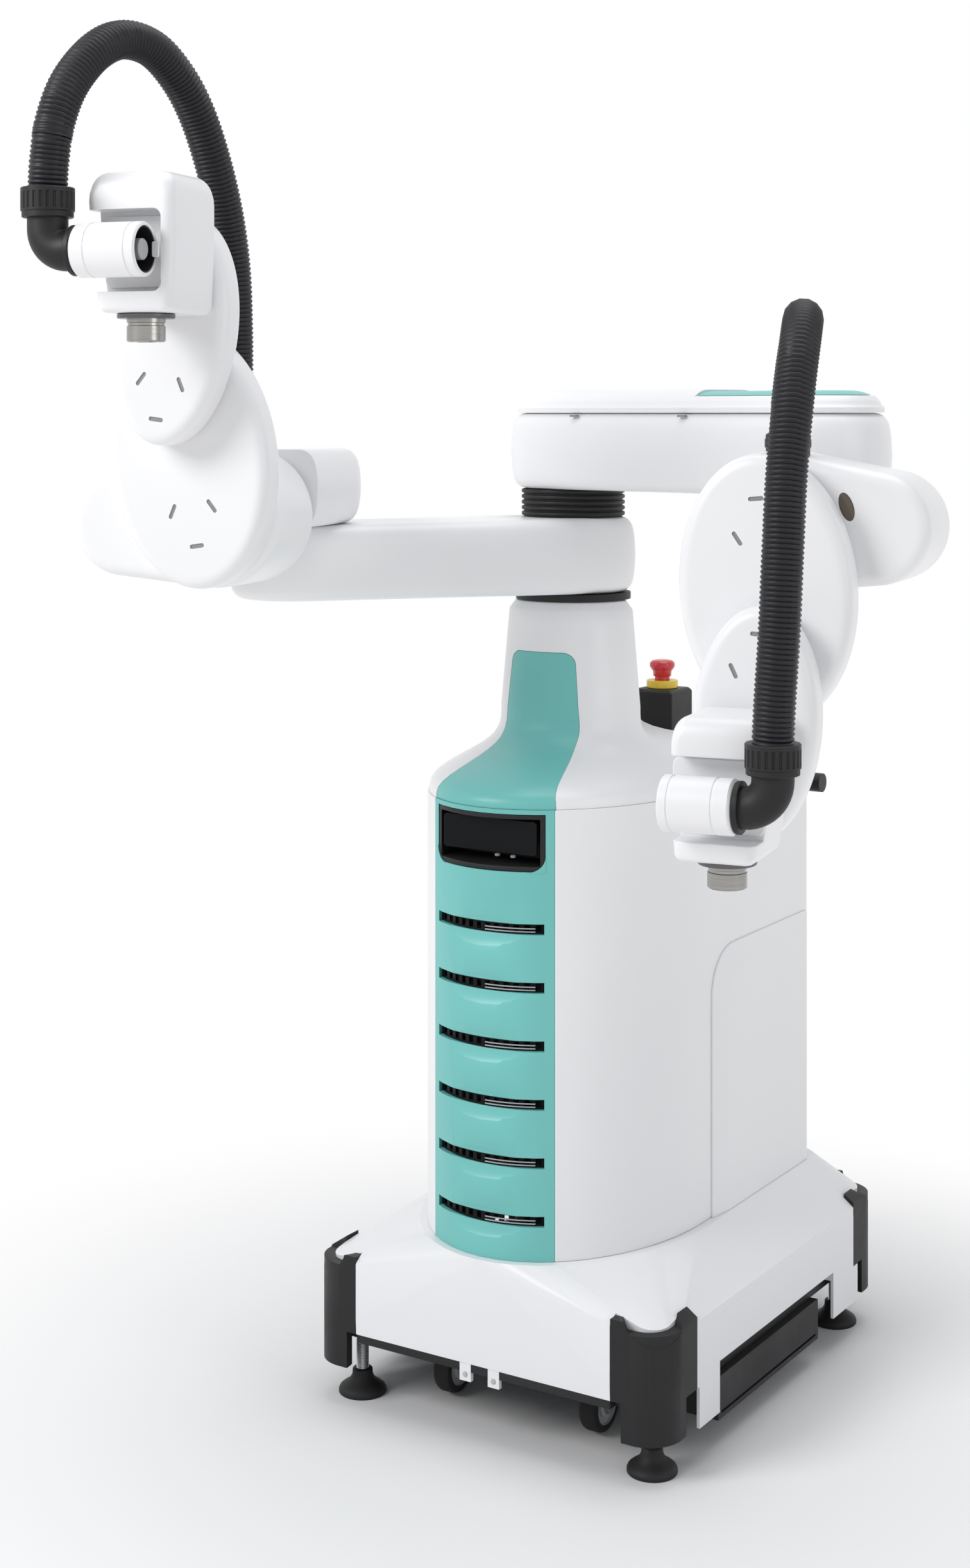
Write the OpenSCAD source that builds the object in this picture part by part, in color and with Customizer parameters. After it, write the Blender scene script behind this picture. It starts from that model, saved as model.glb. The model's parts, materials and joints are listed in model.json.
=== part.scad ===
// Dual-arm collaborative robot: two four-axis arms on one turret, on a wheeled cabinet.
// Origin: on the floor under the turret axis. Front faces -Y, up is +Z, millimetres.

/* [Cart] */
// Width of the cart
cart_w = 500; // [460:2:560]
// Distance from the turret axis to the front of the cart
cart_front = 226; // [224:1:250]
// Distance from the turret axis to the back of the cart
cart_rear = 400; // [390:2:460]
// Corner radius of the cart in plan
cart_r = 43; // [30:1:60]
// Height of the underside of the cart cover
cover_low_z = 95; // [92:0.5:100]
// Height of the fold where the cover starts to slope in
fold_z = 173; // [160:1:190]
// Thickness of the moulded cart cover
cover_wall = 4; // [3:0.5:6]
// Thickness of the steel base plate
plate_t = 10; // [8:0.5:12]

/* [Corner guards] */
// Length of a guard along the front of the cart
guard_front = 70; // [60:1:80]
// Length of a guard along the side of the cart
guard_side = 84; // [70:1:96]
// Thickness of a guard
guard_t = 14; // [8:1:18]
// Height of the top of a guard
guard_top_z = 190; // [180:1:200]
// Height of the lower end of a guard's leg
guard_leg_z = 50; // [40:1:60]
// Width of a guard's leg
guard_leg = 34; // [24:1:38]

/* [Feet and castors] */
// Distance between the left and right feet
foot_span = 414; // [400:2:420]
// Distance of the front feet ahead of the turret axis
foot_front = 173.5; // [168:0.5:178]
// Distance of the rear feet behind the turret axis
foot_rear = 350; // [340:1:356]
// Diameter of a foot's pad
foot_pad_d = 60; // [50:1:66]
// Diameter of a foot's threaded stud
stud_d = 16; // [12:1:20]
// Width of the heads of the nuts that lock the feet
foot_nut_w = 30; // [26:1:36]
// Diameter of a castor wheel
wheel_d = 65; // [56:1:70]
// Width of a castor wheel
wheel_w = 24; // [18:1:28]
// Distance between the left and right castors
castor_span = 210; // [190:2:230]
// Distance of the front castors ahead of the turret axis
castor_front = 140; // [130:1:146]
// Distance of the rear castors behind the turret axis
castor_rear = 300; // [280:1:310]
// Clearance of a castor wheel above the floor
castor_lift = 4; // [2:0.5:6]

/* [Cabinet] */
// Half of the cabinet's width
cab_half = 174; // [160:1:186]
// Length of the curved nose, from its widest line to its tip
nose_len = 244; // [230:1:250]
// Position of the widest line of the nose behind the turret axis
nose_y = 21.6; // [15:0.2:30]
// Position of the back of the cabinet behind the turret axis
cab_rear = 352; // [346:1:370]
// Height of the cabinet's lower seam
cab_low_z = 226; // [215:1:240]
// Height of the cabinet's upper seam
cab_top_z = 764; // [740:1:764]
// Thickness of the cabinet's shells
cab_wall = 4; // [3:0.5:6]
// Half of the width of the coloured front panel
panel_half = 85; // [70:1:95]
// Height of the first slot of the front panel
slot_top_z = 628; // [610:1:640]
// Distance from one slot to the next
slot_pitch = 69.6; // [60:0.2:71]
// Height of a slot
slot_h = 13; // [8:0.5:18]
// Width of a slot
slot_w = 150; // [120:1:158]
// Height of the display bay
bay_h = 68; // [60:1:72]
// Width of the display bay
bay_w = 152; // [120:1:160]
// Height of the raised panel on each side of the cabinet
side_panel_top = 561; // [500:1:600]
// Front edge of the raised side panels behind the turret axis
side_panel_front = 45; // [35:1:80]
// How far the raised side panels stand proud
side_panel_t = 7; // [4:0.5:10]
// Half of the length of the push handle's bar
handle_half = 165; // [150:1:172]
// Radius of the push handle's bar
handle_r = 13; // [10:0.5:15]
// Clear distance from the cabinet to the push handle's bar
handle_reach = 42; // [36:1:50]

/* [Neck] */
// Height of the top of the neck cowl
neck_top_z = 1000; // [990:1:1000]
// Radius of the neck cowl at its top
neck_top_r = 72.5; // [64:0.5:76]
// Radius of the neck cowl at its foot
neck_foot_r = 98; // [90:1:110]
// Height where the neck cowl starts to flare
flare_z = 842; // [820:1:860]
// Radius of the steel column inside the neck
column_r = 52; // [46:1:56]

/* [Turret] */
// Radius of the post that carries both arms
post_r = 40; // [34:1:44]
// Radius of the ridged ring between the arms
ring_r = 66; // [56:1:70]
// Radius of the spigot that the upper arm turns on
spigot_r = 30; // [24:1:34]
// Height of the spigot inside the upper arm
spigot_h = 60; // [40:1:70]

/* [Arms] */
// Length of the upper part of each arm, from shoulder to elbow
link_len = 392.5; // [380:0.5:400]
// Half of the width of an arm link
link_half = 79.5; // [74:0.5:82]
// Height of an arm link
link_h = 95.7; // [90:0.1:96]
// Underside of the lower arm, the left one
left_link_z = 1009.3; // [1009.3:0.1:1010]
// Underside of the upper arm, the right one
right_link_z = 1141.3; // [1141.3:0.1:1142]
// Height of the domed cover on the upper arm
dome_h = 28; // [18:1:34]
// Distance of the cover's seam from the turret axis, along the upper arm
cover_seam = 204; // [150:1:260]
// Height of the seat of the coloured cap above the foot of the cover
cap_seat = 12; // [8:0.5:16]
// Heading of the left arm link, in degrees from straight ahead
left_link_turn = -27.5; // [-40:0.5:-20]
// Heading of the left forearm
left_fore_turn = 14; // [5:0.5:20]
// Heading of the right arm link
right_link_turn = 77.5; // [70:0.5:90]
// Heading of the right forearm
right_fore_turn = 10; // [5:0.5:15]
// Height of a forearm
fore_h = 90; // [80:1:92]
// Radius of the pin in each elbow
elbow_pin_r = 32; // [24:1:38]

/* [Lifting bars] */
// Height of the lift pivot, between the two arms
lift_z = 1120; // [1115:0.5:1125]
// Distance between the pivots of a lifting bar
bar_len = 138; // [130:0.5:145]
// Half of the width of the first bar
bar1_half = 94; // [80:1:98]
// Half of the width of the second bar
bar2_half = 67; // [56:1:72]
// Overhang of the first bar past its pivots
bar1_over = 74; // [64:1:76]
// Overhang of the second bar past its pivots
bar2_over = 55; // [46:1:60]
// Distance by which the lift housing stays clear of the arm link's round end
house_off = 38.5; // [36:0.5:42]
// Depth of the housing that carries the lift pivot, along the forearm
house_deep = 118; // [110:0.5:124]
// Thickness of each bar
bar_t = 43.7; // [36:0.1:44]
// Angle of the left first bar from straight up
left_lift = 8.1; // [4.4:0.1:20]
// Angle of the right first bar from straight up
right_lift = 175.6; // [160:0.1:175.6]
// Radius of the lift pivot
lift_pin_r = 30; // [24:1:34]
// Radius of the pins between the bars and the wrist
bar_pin_r = 24; // [18:1:28]

/* [Wrist] */
// Half of the width of the wrist block
wrist_half = 49; // [44:1:52]
// Distance of the tool's axis ahead of the wrist block's back
wrist_axis = 68.2; // [64:0.1:72]
// Distance of the cable duct's axis ahead of the tool's axis
duct_ahead = 59.5; // [56:0.5:62]
// Depth of the wrist block along the forearm
wrist_deep = 108; // [100:1:112]
// Height of the wrist block above its pivot
wrist_up = 90; // [84:1:96]
// Depth of the wrist block below its pivot
wrist_down = 54; // [50:1:56]
// Radius of the tool flange
flange_r = 20; // [19:0.5:22]
// Length of the tool flange below its collar
flange_len = 24; // [20:1:28]
// Pitch circle of the tool flange's bolts
flange_pcd = 31.5; // [30:0.5:32]
// Radius of the cable duct across the wrist
duct_r = 28; // [26:0.5:30]
// Outer radius of the corrugated hose
hose_r = 21; // [16:0.5:22]

/* [Emergency stop] */
// Height of the top of the stop button's box
stop_box_z = 868; // [850:1:880]
// Height of the foot of the stop button's box, in its pocket in the neck cowl
stop_low_z = 776; // [772:1:784]
// Half of the width of the stop button's box
stop_half = 30; // [26:1:34]
// Diameter of the stop button
stop_d = 34; // [28:1:38]
// Travel of the stop button
stop_travel = 4; // [2:0.5:6]

/* [Clearances] */
// Running gap between faces of pieces that move
gap = 0.3; // [0.2:0.05:0.5]
// Radial clearance of a pin in its bore
fit = 0.1; // [0.05:0.01:0.15]

/* [Hidden] */
$fn = 48;

WHITE = "white";
TEAL = "mediumturquoise";
BLACK = "dimgray";
STEEL = "silver";

plate_z = cover_low_z - plate_t - gap;
side_y = [-cart_front + guard_side + 6, 330];
apron_z = 46;
box_y = [-79, 210];
box_z = [33, 103];
panel_t = 6;
nose_front = nose_y - nose_len;
front_cut_y = nose_front - 4;
front_cut = 100;
bay_z = cab_top_z - 6 - bay_h;
bay_deep = 46;
slots = 6;
collar_h = left_link_z - neck_top_z - 2 * gap;
hose_fitting_h = 65;
boss_h = 24;
tab_x = 20;
tab_w = 16;
tab_t = 6;
tab_h = 21.7;
handle_z = cab_top_z - 42;
post_top = right_link_z - gap;
fore_cut = link_half + house_off;
house_front = fore_cut + house_deep;
bar1_s = house_front + gap;
bar2_s = bar1_s + bar_t + gap;
wrist_s = bar2_s + bar_t + gap;
flange_s = wrist_s + wrist_axis;
duct_up = 8;
duct_s = flange_s + duct_ahead;
duct_len = 74;
lobe = [112, 60];
pin_len = 26;
edge = 9;
hose_sides = 10;

// Outlines as functions of an inset, so that edges round over evenly
function unit(v) = v / norm(v);
function ellipse_ring(a, b, c, inset, n = 40) =
    [for (i = [0:n - 1]) [c.x + (a - inset) * cos(i * 360 / n), c.y + (b - inset) * sin(i * 360 / n)]];
function two_circle_ring(c1, r1, c2, r2, inset, n = 40) =
    [for (i = [0:n - 1]) let (d = [cos(i * 360 / n), sin(i * 360 / n)])
        (c2 - c1) * d + r2 - r1 > 0 ? c2 + (r2 - inset) * d : c1 + (r1 - inset) * d];
function box_ring(x, y, r, inset, n = 32) =
    [for (i = [0:n - 1]) let (a = (i + 0.5) * 360 / n, d = [cos(a), sin(a)])
        [d.x > 0 ? x[1] - r : x[0] + r, d.y > 0 ? y[1] - r : y[0] + r] + (r - inset) * d];
function cab_ring(inset, n = 24) = concat(
    [for (i = [0:n]) let (a = 180 + i * 180 / n)
        [(cab_half - inset) * cos(a), nose_y + (nose_len - inset) * sin(a)]],
    [for (i = [0:4]) let (a = i * 22.5)
        [cab_half - 24 + (24 - inset) * cos(a), cab_rear - 24 + (24 - inset) * sin(a)]],
    [for (i = [0:4]) let (a = 90 + i * 22.5)
        [-cab_half + 24 + (24 - inset) * cos(a), cab_rear - 24 + (24 - inset) * sin(a)]]);
function flat(ring, z) = [for (p = ring) [p.x, p.y, z]];
function upright(ring, s) = [for (p = ring) [p.x, -s, p.y]];
function edge_inset(e, k) = e * (1 - sin(k * 30));
function edge_depth(e, k) = e * (1 - cos(k * 30));

// A solid through a list of rings that have the same number of points
module loft(rings) {
    n = len(rings[0]);
    last = len(rings) - 1;
    sides = [for (k = [0:last - 1], i = [0:n - 1]) let (j = (i + 1) % n)
        each [[k * n + i, k * n + n + i, k * n + n + j], [k * n + i, k * n + n + j, k * n + j]]];
    ends = [[for (i = [0:n - 1]) i], [for (i = [0:n - 1]) last * n + n - 1 - i]];
    polyhedron([for (r = rings) each r], concat(sides, ends));
}

module rounded(x, y, r) {
    translate([x[0] + r, y[0]]) square([x[1] - x[0] - 2 * r, y[1] - y[0]]);
    translate([x[0], y[0] + r]) square([x[1] - x[0], y[1] - y[0] - 2 * r]);
    for (px = [x[0] + r, x[1] - r], py = [y[0] + r, y[1] - r]) translate([px, py]) circle(r);
}

module pipe(r, bore, h) {
    difference() {
        cylinder(r = r, h = h);
        translate([0, 0, -1]) cylinder(r = bore, h = h + 2);
    }
}

module bar_between(r, x, s, z) {
    translate([x, -s[0], z]) rotate([90, 0, 0]) cylinder(r = r, h = s[1] - s[0]);
}

// Cart
module cart_outline(inset) {
    rounded([-cart_w / 2 + inset, cart_w / 2 - inset], [-cart_front + inset, cart_rear - inset], cart_r - inset);
}

module foot_places(keep = [0, 1, 2, 3]) {
    places = [[-foot_span / 2, -foot_front], [foot_span / 2, -foot_front],
        [-foot_span / 2, foot_rear], [foot_span / 2, foot_rear]];
    for (i = keep) translate(places[i]) children();
}

module foot_clearance() {
    top = plate_z + plate_t + boss_h;
    foot_places() translate([0, 0, guard_leg_z - 2])
        cylinder(r = max(stud_d, foot_nut_w / 2) + fit, h = top + fit - guard_leg_z + 2);
}

module castor_places(keep = [0, 1, 2, 3]) {
    places = [[-castor_span / 2, -castor_front], [castor_span / 2, -castor_front],
        [-castor_span / 2, castor_rear], [castor_span / 2, castor_rear]];
    for (i = keep) translate(places[i]) children();
}

module base_plate() {
    color(BLACK) difference() {
        union() {
            translate([0, 0, plate_z]) linear_extrude(plate_t) cart_outline(guard_t + gap);
            translate([0, 0, plate_z]) linear_extrude(plate_t)
                rounded([-cart_w / 2 + guard_front + gap, cart_w / 2 - guard_front - gap],
                    [-cart_front + 1, cart_rear - 1], 4);
            foot_places() translate([0, 0, plate_z]) cylinder(r = stud_d, h = plate_t + boss_h);
            translate([0, 0, plate_z + plate_t]) linear_extrude(30) difference() {
                rounded([-150, 150], [-150, 330], 10);
                rounded([-142, 142], [-142, 322], 6);
            }
        }
        foot_places() translate([0, 0, plate_z - 1]) cylinder(r = stud_d / 2 + fit, h = plate_t + 60);
        castor_places() translate([0, 0, plate_z - 1]) cylinder(r = 6 + fit, h = plate_t + 12);
        for (x = [-tab_x, tab_x]) translate([x - tab_w / 2 - gap, -cart_front - 1, plate_z - 1])
            cube([tab_w + 2 * gap, tab_t + 2 + 2 * gap, plate_t + 2]);
    }
}

function cart_ring(inset) =
    box_ring([-cart_w / 2, cart_w / 2], [-cart_front, cart_rear], cart_r, inset);

module cover_form(inset, low, high) {
    hull() {
        translate([0, 0, low]) linear_extrude(fold_z - inset - low) polygon(cart_ring(inset));
        translate([0, 0, high - 2]) linear_extrude(2) polygon(cab_ring(inset - 10));
    }
}

module cart_cover() {
    high = cab_low_z - gap;
    reach = guard_t + gap;
    color(WHITE) difference() {
        union() {
            cover_form(0, cover_low_z, high);
            for (m = [0, 1]) mirror([m, 0, 0])
                translate([cart_w / 2 - cover_wall, side_y[0], apron_z])
                    cube([cover_wall, side_y[1] - side_y[0], fold_z - apron_z - 10]);
        }
        cover_form(reach + cover_wall, cover_low_z - 1, high - 6);
        foot_clearance();
        translate([0, 0, high - 20]) linear_extrude(30) polygon(cab_ring(24));
        for (m = [0, 1]) mirror([m, 0, 0]) {
            translate([cart_w / 2 - 30, box_y[0] - 4, apron_z - 1])
                cube([40, box_y[1] - box_y[0] + 44, box_z[1] - apron_z + 5]);
            translate([0, 0, cover_low_z - 1]) linear_extrude(guard_top_z) difference() {
                for (y = [-cart_front - 1, cart_rear - guard_side - gap])
                    translate([cart_w / 2 - guard_front - gap, y])
                        square([guard_front + 2, guard_side + gap + 1]);
                polygon(cart_ring(reach));
            }
        }
    }
}

module guards(y_from) {
    color(BLACK) difference() {
        intersection() {
            union() {
                translate([0, 0, cover_low_z]) linear_extrude(guard_top_z - cover_low_z) cart_outline(0);
                translate([0, 0, guard_leg_z]) linear_extrude(cover_low_z - guard_leg_z + 1) intersection() {
                    cart_outline(0);
                    union() for (x = [-1, 1], y = [-cart_front, cart_rear])
                        translate([x * cart_w / 2, y]) circle(guard_leg + 22);
                }
            }
            for (m = [0, 1]) mirror([m, 0, 0])
                translate([cart_w / 2 - guard_front, y_from, 0]) cube([guard_front + 1, guard_side, 300]);
        }
        translate([0, 0, guard_leg_z - 1]) linear_extrude(guard_top_z) cart_outline(guard_t);
        foot_clearance();
        for (x = [-1, 1], y = [-cart_front, cart_rear])
            translate([x * (cart_w / 2 - 24), y + (y < 0 ? 24 : -24), guard_top_z + 8]) sphere(r = 38);
        for (x = [-1, 1]) translate([x * (cart_w / 2), y_from - 1, fold_z + 6])
            rotate([0, x * 35, 0]) translate([-30, 0, 0]) cube([60, guard_side + 2, 40]);
    }
}

module front_guards() {
    guards(-cart_front);
}

module rear_guards() {
    guards(cart_rear - guard_side);
}

module foot_nuts() {
    color(STEEL) foot_places() translate([0, 0, plate_z - 12 - gap]) difference() {
        cylinder(d = foot_nut_w, h = 12, $fn = 6);
        translate([0, 0, -1]) cylinder(r = stud_d / 2 + fit, h = 14);
    }
}

module foot_one(i) {
    neck = 12;
    color(BLACK) foot_places([i]) {
        rotate_extrude() polygon([[0, 0], [foot_pad_d / 2, 0], [foot_pad_d / 2, 5],
            [foot_pad_d / 2 - 4, 9], [neck + 5, 15], [neck, 22], [neck, 30], [0, 30]]);
        translate([0, 0, 29]) cylinder(r = stud_d / 2, h = plate_z + plate_t + 12 - 29);
    }
}

module castor_fork(i) {
    axle_z = castor_lift + wheel_d / 2;
    trail = 22;
    color(STEEL) castor_places([i]) {
        translate([0, 0, plate_z - gap - 9]) cylinder(r = 24, h = 9);
        translate([0, 0, plate_z - 9]) cylinder(r = 6, h = plate_t + 8);
        for (x = [-1, 1]) translate([x * (wheel_w / 2 + 1 + 2) - 2, 0, 0]) rotate([90, 0, 90])
            linear_extrude(4) polygon([[-18, plate_z - 4], [18, plate_z - 4],
                [trail + 9, axle_z + 2], [trail + 5, axle_z - 8], [trail - 6, axle_z - 8]]);
        translate([-wheel_w / 2 - 5, trail, axle_z]) rotate([0, 90, 0]) cylinder(r = 5, h = wheel_w + 10);
    }
}

module castor_wheel(i) {
    axle_z = castor_lift + wheel_d / 2;
    trail = 22;
    half = wheel_w / 2;
    color(BLACK) castor_places([i]) translate([0, trail, axle_z]) rotate([0, 90, 0])
        rotate_extrude() polygon([[5 + fit, -half], [14, -half], [14, -half + 4], [24, -half + 4],
            [24, -half], [wheel_d / 2 - 5, -half], [wheel_d / 2, -half + 5], [wheel_d / 2, half - 5],
            [wheel_d / 2 - 5, half], [24, half], [24, half - 4], [14, half - 4], [14, half], [5 + fit, half]]);
}

module side_boxes() {
    color(BLACK) for (m = [0, 1]) mirror([m, 0, 0])
        translate([cart_w / 2 - 60, box_y[0], box_z[0]]) difference() {
            cube([56, box_y[1] - box_y[0], plate_z - box_z[0]]);
            translate([50, 8, 6]) cube([7, box_y[1] - box_y[0] - 16, 3]);
        }
}

module front_tabs() {
    color(WHITE) for (x = [-tab_x, tab_x])
        translate([x - tab_w / 2, -cart_front + 1.4, cover_low_z - gap - tab_h]) difference() {
            cube([tab_w, tab_t, tab_h]);
            translate([tab_w / 2, -1, 8]) rotate([-90, 0, 0]) cylinder(r = 3, h = tab_t + 2, $fn = 24);
        }
}

// Cabinet and neck
module column() {
    low = plate_z + plate_t + gap;
    color(STEEL) {
        translate([0, 0, low]) cylinder(r = 100, h = 16);
        translate([0, 0, low]) cylinder(r = column_r, h = neck_top_z - low);
        translate([0, 0, neck_top_z - 1]) cylinder(r = post_r, h = post_top - neck_top_z + 1);
        translate([0, 0, post_top - 1]) cylinder(r = spigot_r, h = spigot_h + gap + 1);
        for (a = [45:90:315]) rotate([0, 0, a]) translate([column_r - 4, -4, low])
            rotate([90, 0, 0]) translate([0, 0, -8]) linear_extrude(8)
                polygon([[0, 0], [46, 0], [46, 16], [0, 120]]);
    }
}

module cabinet_shell() {
    high = cab_top_z - gap;
    color(WHITE) difference() {
        translate([0, 0, cab_low_z]) linear_extrude(high - cab_low_z) polygon(cab_ring(0));
        translate([0, 0, cab_low_z - 1]) linear_extrude(high - cab_low_z + 2) polygon(cab_ring(cab_wall));
        translate([-panel_half - gap, front_cut_y, cab_low_z - 1])
            cube([2 * (panel_half + gap), front_cut, high - cab_low_z + 2]);
        translate([-cab_half + 30, cab_rear - 20, cab_low_z + 20])
            cube([2 * cab_half - 60, 30, high - cab_low_z - 100]);
    }
}

module front_panel() {
    high = cab_top_z - gap;
    color(TEAL) difference() {
        intersection() {
            translate([0, 0, cab_low_z]) linear_extrude(high - cab_low_z) difference() {
                polygon(cab_ring(0));
                polygon(cab_ring(panel_t));
            }
            translate([-panel_half, front_cut_y, 0]) cube([2 * panel_half, front_cut, high]);
        }
        translate([-bay_w / 2 - gap, front_cut_y, bay_z - gap])
            cube([bay_w + 2 * gap, front_cut, bay_h + 2 * gap]);
        for (i = [0:slots - 1]) translate([0, 0, slot_top_z - i * slot_pitch - slot_h]) {
            translate([-slot_w / 2, front_cut_y, 0]) cube([slot_w, front_cut, slot_h]);
            translate([-slot_w / 2 + 12, nose_front - 7, -9]) rotate([12, 0, 0])
                cube([slot_w - 24, 10, 14]);
        }
    }
}

module display_bay() {
    color(BLACK) difference() {
        intersection() {
            translate([0, 0, bay_z]) linear_extrude(bay_h) difference() {
                polygon(cab_ring(1));
                translate([-cab_half, nose_front + bay_deep + 44]) square([2 * cab_half, 600]);
            }
            translate([-bay_w / 2, nose_front, 0]) cube([bay_w, bay_deep + 40, cab_top_z]);
        }
        translate([-bay_w / 2 + 6, nose_front - 1, bay_z + 6]) cube([bay_w - 12, bay_deep, bay_h - 12]);
        translate([-bay_w / 2 + 6, nose_front - 1, bay_z + 6]) cube([bay_w - 12, bay_deep + 20, 10]);
    }
}

module slot_grilles() {
    half = slot_w / 2 + 6;
    tall = slot_h + 12;
    color(STEEL) for (i = [0:slots - 1])
        translate([0, 0, slot_top_z - i * slot_pitch - slot_h - 6]) difference() {
            intersection() {
                linear_extrude(tall) difference() {
                    polygon(cab_ring(panel_t + gap));
                    polygon(cab_ring(panel_t + gap + 2.5));
                }
                translate([-half, front_cut_y, -1]) cube([2 * half, front_cut, tall + 2]);
            }
            for (x = [-66:12:66]) translate([x - 3, front_cut_y, tall / 2 - 4]) cube([6, 60, 8]);
        }
}

module side_panel(side) {
    tall = side_panel_top - cab_low_z - gap;
    long = cab_rear - 24 - side_panel_front;
    round_r = 60;
    color(WHITE) mirror([side < 0 ? 1 : 0, 0, 0])
        translate([cab_half + gap, side_panel_front, cab_low_z]) rotate([90, 0, 90])
            linear_extrude(side_panel_t) {
                square([long, tall - round_r]);
                translate([round_r, 0]) square([long - round_r, tall]);
                translate([round_r, tall - round_r]) circle(round_r);
            }
}

module rear_cover() {
    high = cab_top_z - gap;
    wide = 2 * cab_half - 60 - 2 * gap;
    color(WHITE) difference() {
        translate([-wide / 2, cab_rear - 5, cab_low_z + 20 + gap])
            cube([wide, 6, high - cab_low_z - 100 - 2 * gap]);
        for (i = [0:11], x = [-1, 1]) translate([x * 55 - 35, cab_rear - 6, cab_low_z + 80 + i * 16])
            cube([70, 8, 6]);
    }
}

module push_handle() {
    y0 = cab_rear + gap;
    color(BLACK) {
        for (x = [-1, 1]) translate([x * (handle_half - 24), y0, handle_z]) rotate([-90, 0, 0])
            cylinder(r = handle_r - 2, h = handle_reach + handle_r);
        translate([-handle_half, y0 + handle_reach + handle_r, handle_z]) rotate([0, 90, 0])
            cylinder(r = handle_r, h = 2 * handle_half);
    }
}

module controller() {
    low = plate_z + plate_t + gap;
    color(STEEL) translate([-120, 110, low + 30]) difference() {
        cube([240, 200, 420]);
        for (i = [0:5]) translate([-1, 30 + i * 24, 60]) cube([242, 6, 300]);
        translate([20, 20, 20]) cube([200, 160, 380]);
    }
    color(STEEL) translate([-120, 110, low]) {
        cube([240, 12, 31]);
        translate([0, 188, 0]) cube([240, 12, 31]);
    }
}

function neck_r(z) =
    z >= neck_top_z - 12 ? neck_top_r + (neck_top_z - z) * 0.75 :
    z >= flare_z ? let (k = (neck_top_z - 12 - z) / (neck_top_z - 12 - flare_z))
        neck_top_r + 9 + (neck_foot_r - neck_top_r - 9) * k : neck_foot_r;
function flare(z) = z >= flare_z ? 0 : let (k = (flare_z - z) / (flare_z - cab_top_z)) pow(k, 1.7);
function neck_ring(z, inset) = let (wide = cab_ring(inset + 2), k = flare(z), r = neck_r(z) - inset)
    [for (p = wide) let (q = r * unit(p)) [p.x * k + q.x * (1 - k), p.y * k + q.y * (1 - k), z]];
neck_levels = [cab_top_z, 772, 782, 794, 808, 824, flare_z, 900, 960, neck_top_z - 12, neck_top_z - 4,
    neck_top_z];

module neck_body(inset, low, high) {
    loft([for (z = neck_levels) each z == neck_levels[0] ? [flat(neck_ring(z, inset), low)] :
        z == neck_top_z ? [flat(neck_ring(z, inset), high)] : [neck_ring(z, inset)]]);
}

module inlay_zone(grow) {
    low = cab_top_z - 1;
    foot = panel_half + grow;
    waist = 54 + grow;
    top = neck_top_z - 62 + grow;
    spread = cab_top_z + 36;
    straight = spread + 30;
    translate([0, grow - 56, 0]) rotate([90, 0, 0]) linear_extrude(300)
        polygon([[-foot, low], [foot, low], [foot, low + 12], [waist + 8, spread], [waist, straight],
            [46 + grow, top - 10], [38, top], [-38, top], [-46 - grow, top - 10], [-waist, straight],
            [-waist - 8, spread], [-foot, low + 12]]);
}

module neck_cowl() {
    color(WHITE) difference() {
        neck_body(0, cab_top_z, neck_top_z);
        translate([0, 0, cab_top_z - 1]) cylinder(r = column_r + gap, h = 300);
        inlay_zone(gap);
        stop_place() translate([-stop_half - gap, -stop_half - gap, stop_low_z - gap])
            cube([2 * (stop_half + gap), 2 * (stop_half + gap), stop_box_z]);
    }
}

module neck_inlay() {
    color(TEAL) intersection() {
        neck_body(0, cab_top_z, neck_top_z);
        inlay_zone(0);
    }
}

module stop_place() {
    translate([28, 190, 0]) children();
}

module stop_box() {
    color(BLACK) stop_place() difference() {
        hull() {
            translate([-stop_half, -stop_half, stop_low_z])
                cube([2 * stop_half, 2 * stop_half, stop_box_z - stop_low_z - 4]);
            translate([4 - stop_half, 4 - stop_half, stop_box_z - 1]) cube([2 * stop_half - 8, 2 * stop_half - 8, 1]);
        }
        translate([0, 0, stop_box_z - 40]) cylinder(r = 10 + fit, h = 60);
    }
}

module stop_collar() {
    color("gold") stop_place() translate([0, 0, stop_box_z + gap]) pipe(stop_d / 2 + 4, 10 + fit, 10);
}

module stop_button() {
    color("crimson") stop_place() translate([0, 0, stop_box_z + 10 + gap + stop_travel]) {
        translate([0, 0, gap]) rotate_extrude() polygon([[0, 0], [12, 0], [13, 8], [stop_d / 2 - 1, 12],
            [stop_d / 2, 15], [stop_d / 2 - 1, 20], [stop_d / 2 - 5, 22], [0, 23]]);
        translate([0, 0, -42]) cylinder(r = 10, h = 44);
    }
}

// Turret
module turret_collar() {
    color(BLACK) translate([0, 0, neck_top_z + gap]) pipe(neck_top_r + 1, post_r + fit, collar_h);
}

module turret_ring() {
    low = left_link_z + link_h + gap;
    tall = post_top - low;
    ridges = 5;
    color(BLACK) translate([0, 0, low]) rotate_extrude($fn = 72) polygon(concat(
        [[post_r + fit, tall], [post_r + fit, 0]],
        [for (i = [0:ridges - 1]) each [[ring_r, (i + 0.1) * tall / ridges],
            [ring_r, (i + 0.6) * tall / ridges], [ring_r - 3, (i + 0.7) * tall / ridges],
            [ring_r - 3, (i + 0.95) * tall / ridges]]],
        [[ring_r - 3, tall]]));
}

// Arms: x points out of the robot, y points back along the forearm
function ahead(turn) = [sin(turn), -cos(turn)];
left_elbow = link_len * ahead(left_link_turn);
right_elbow = link_len * ahead(right_link_turn);

module fore_frame(side) {
    translate(side < 0 ? left_elbow : right_elbow)
        rotate([0, 0, side < 0 ? left_fore_turn : right_fore_turn])
            mirror([side < 0 ? 1 : 0, 0, 0]) children();
}

function lift_of(side) = side < 0 ? left_lift : right_lift;
function hand_z(side) = lift_z + 2 * bar_len * cos(lift_of(side));

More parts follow.
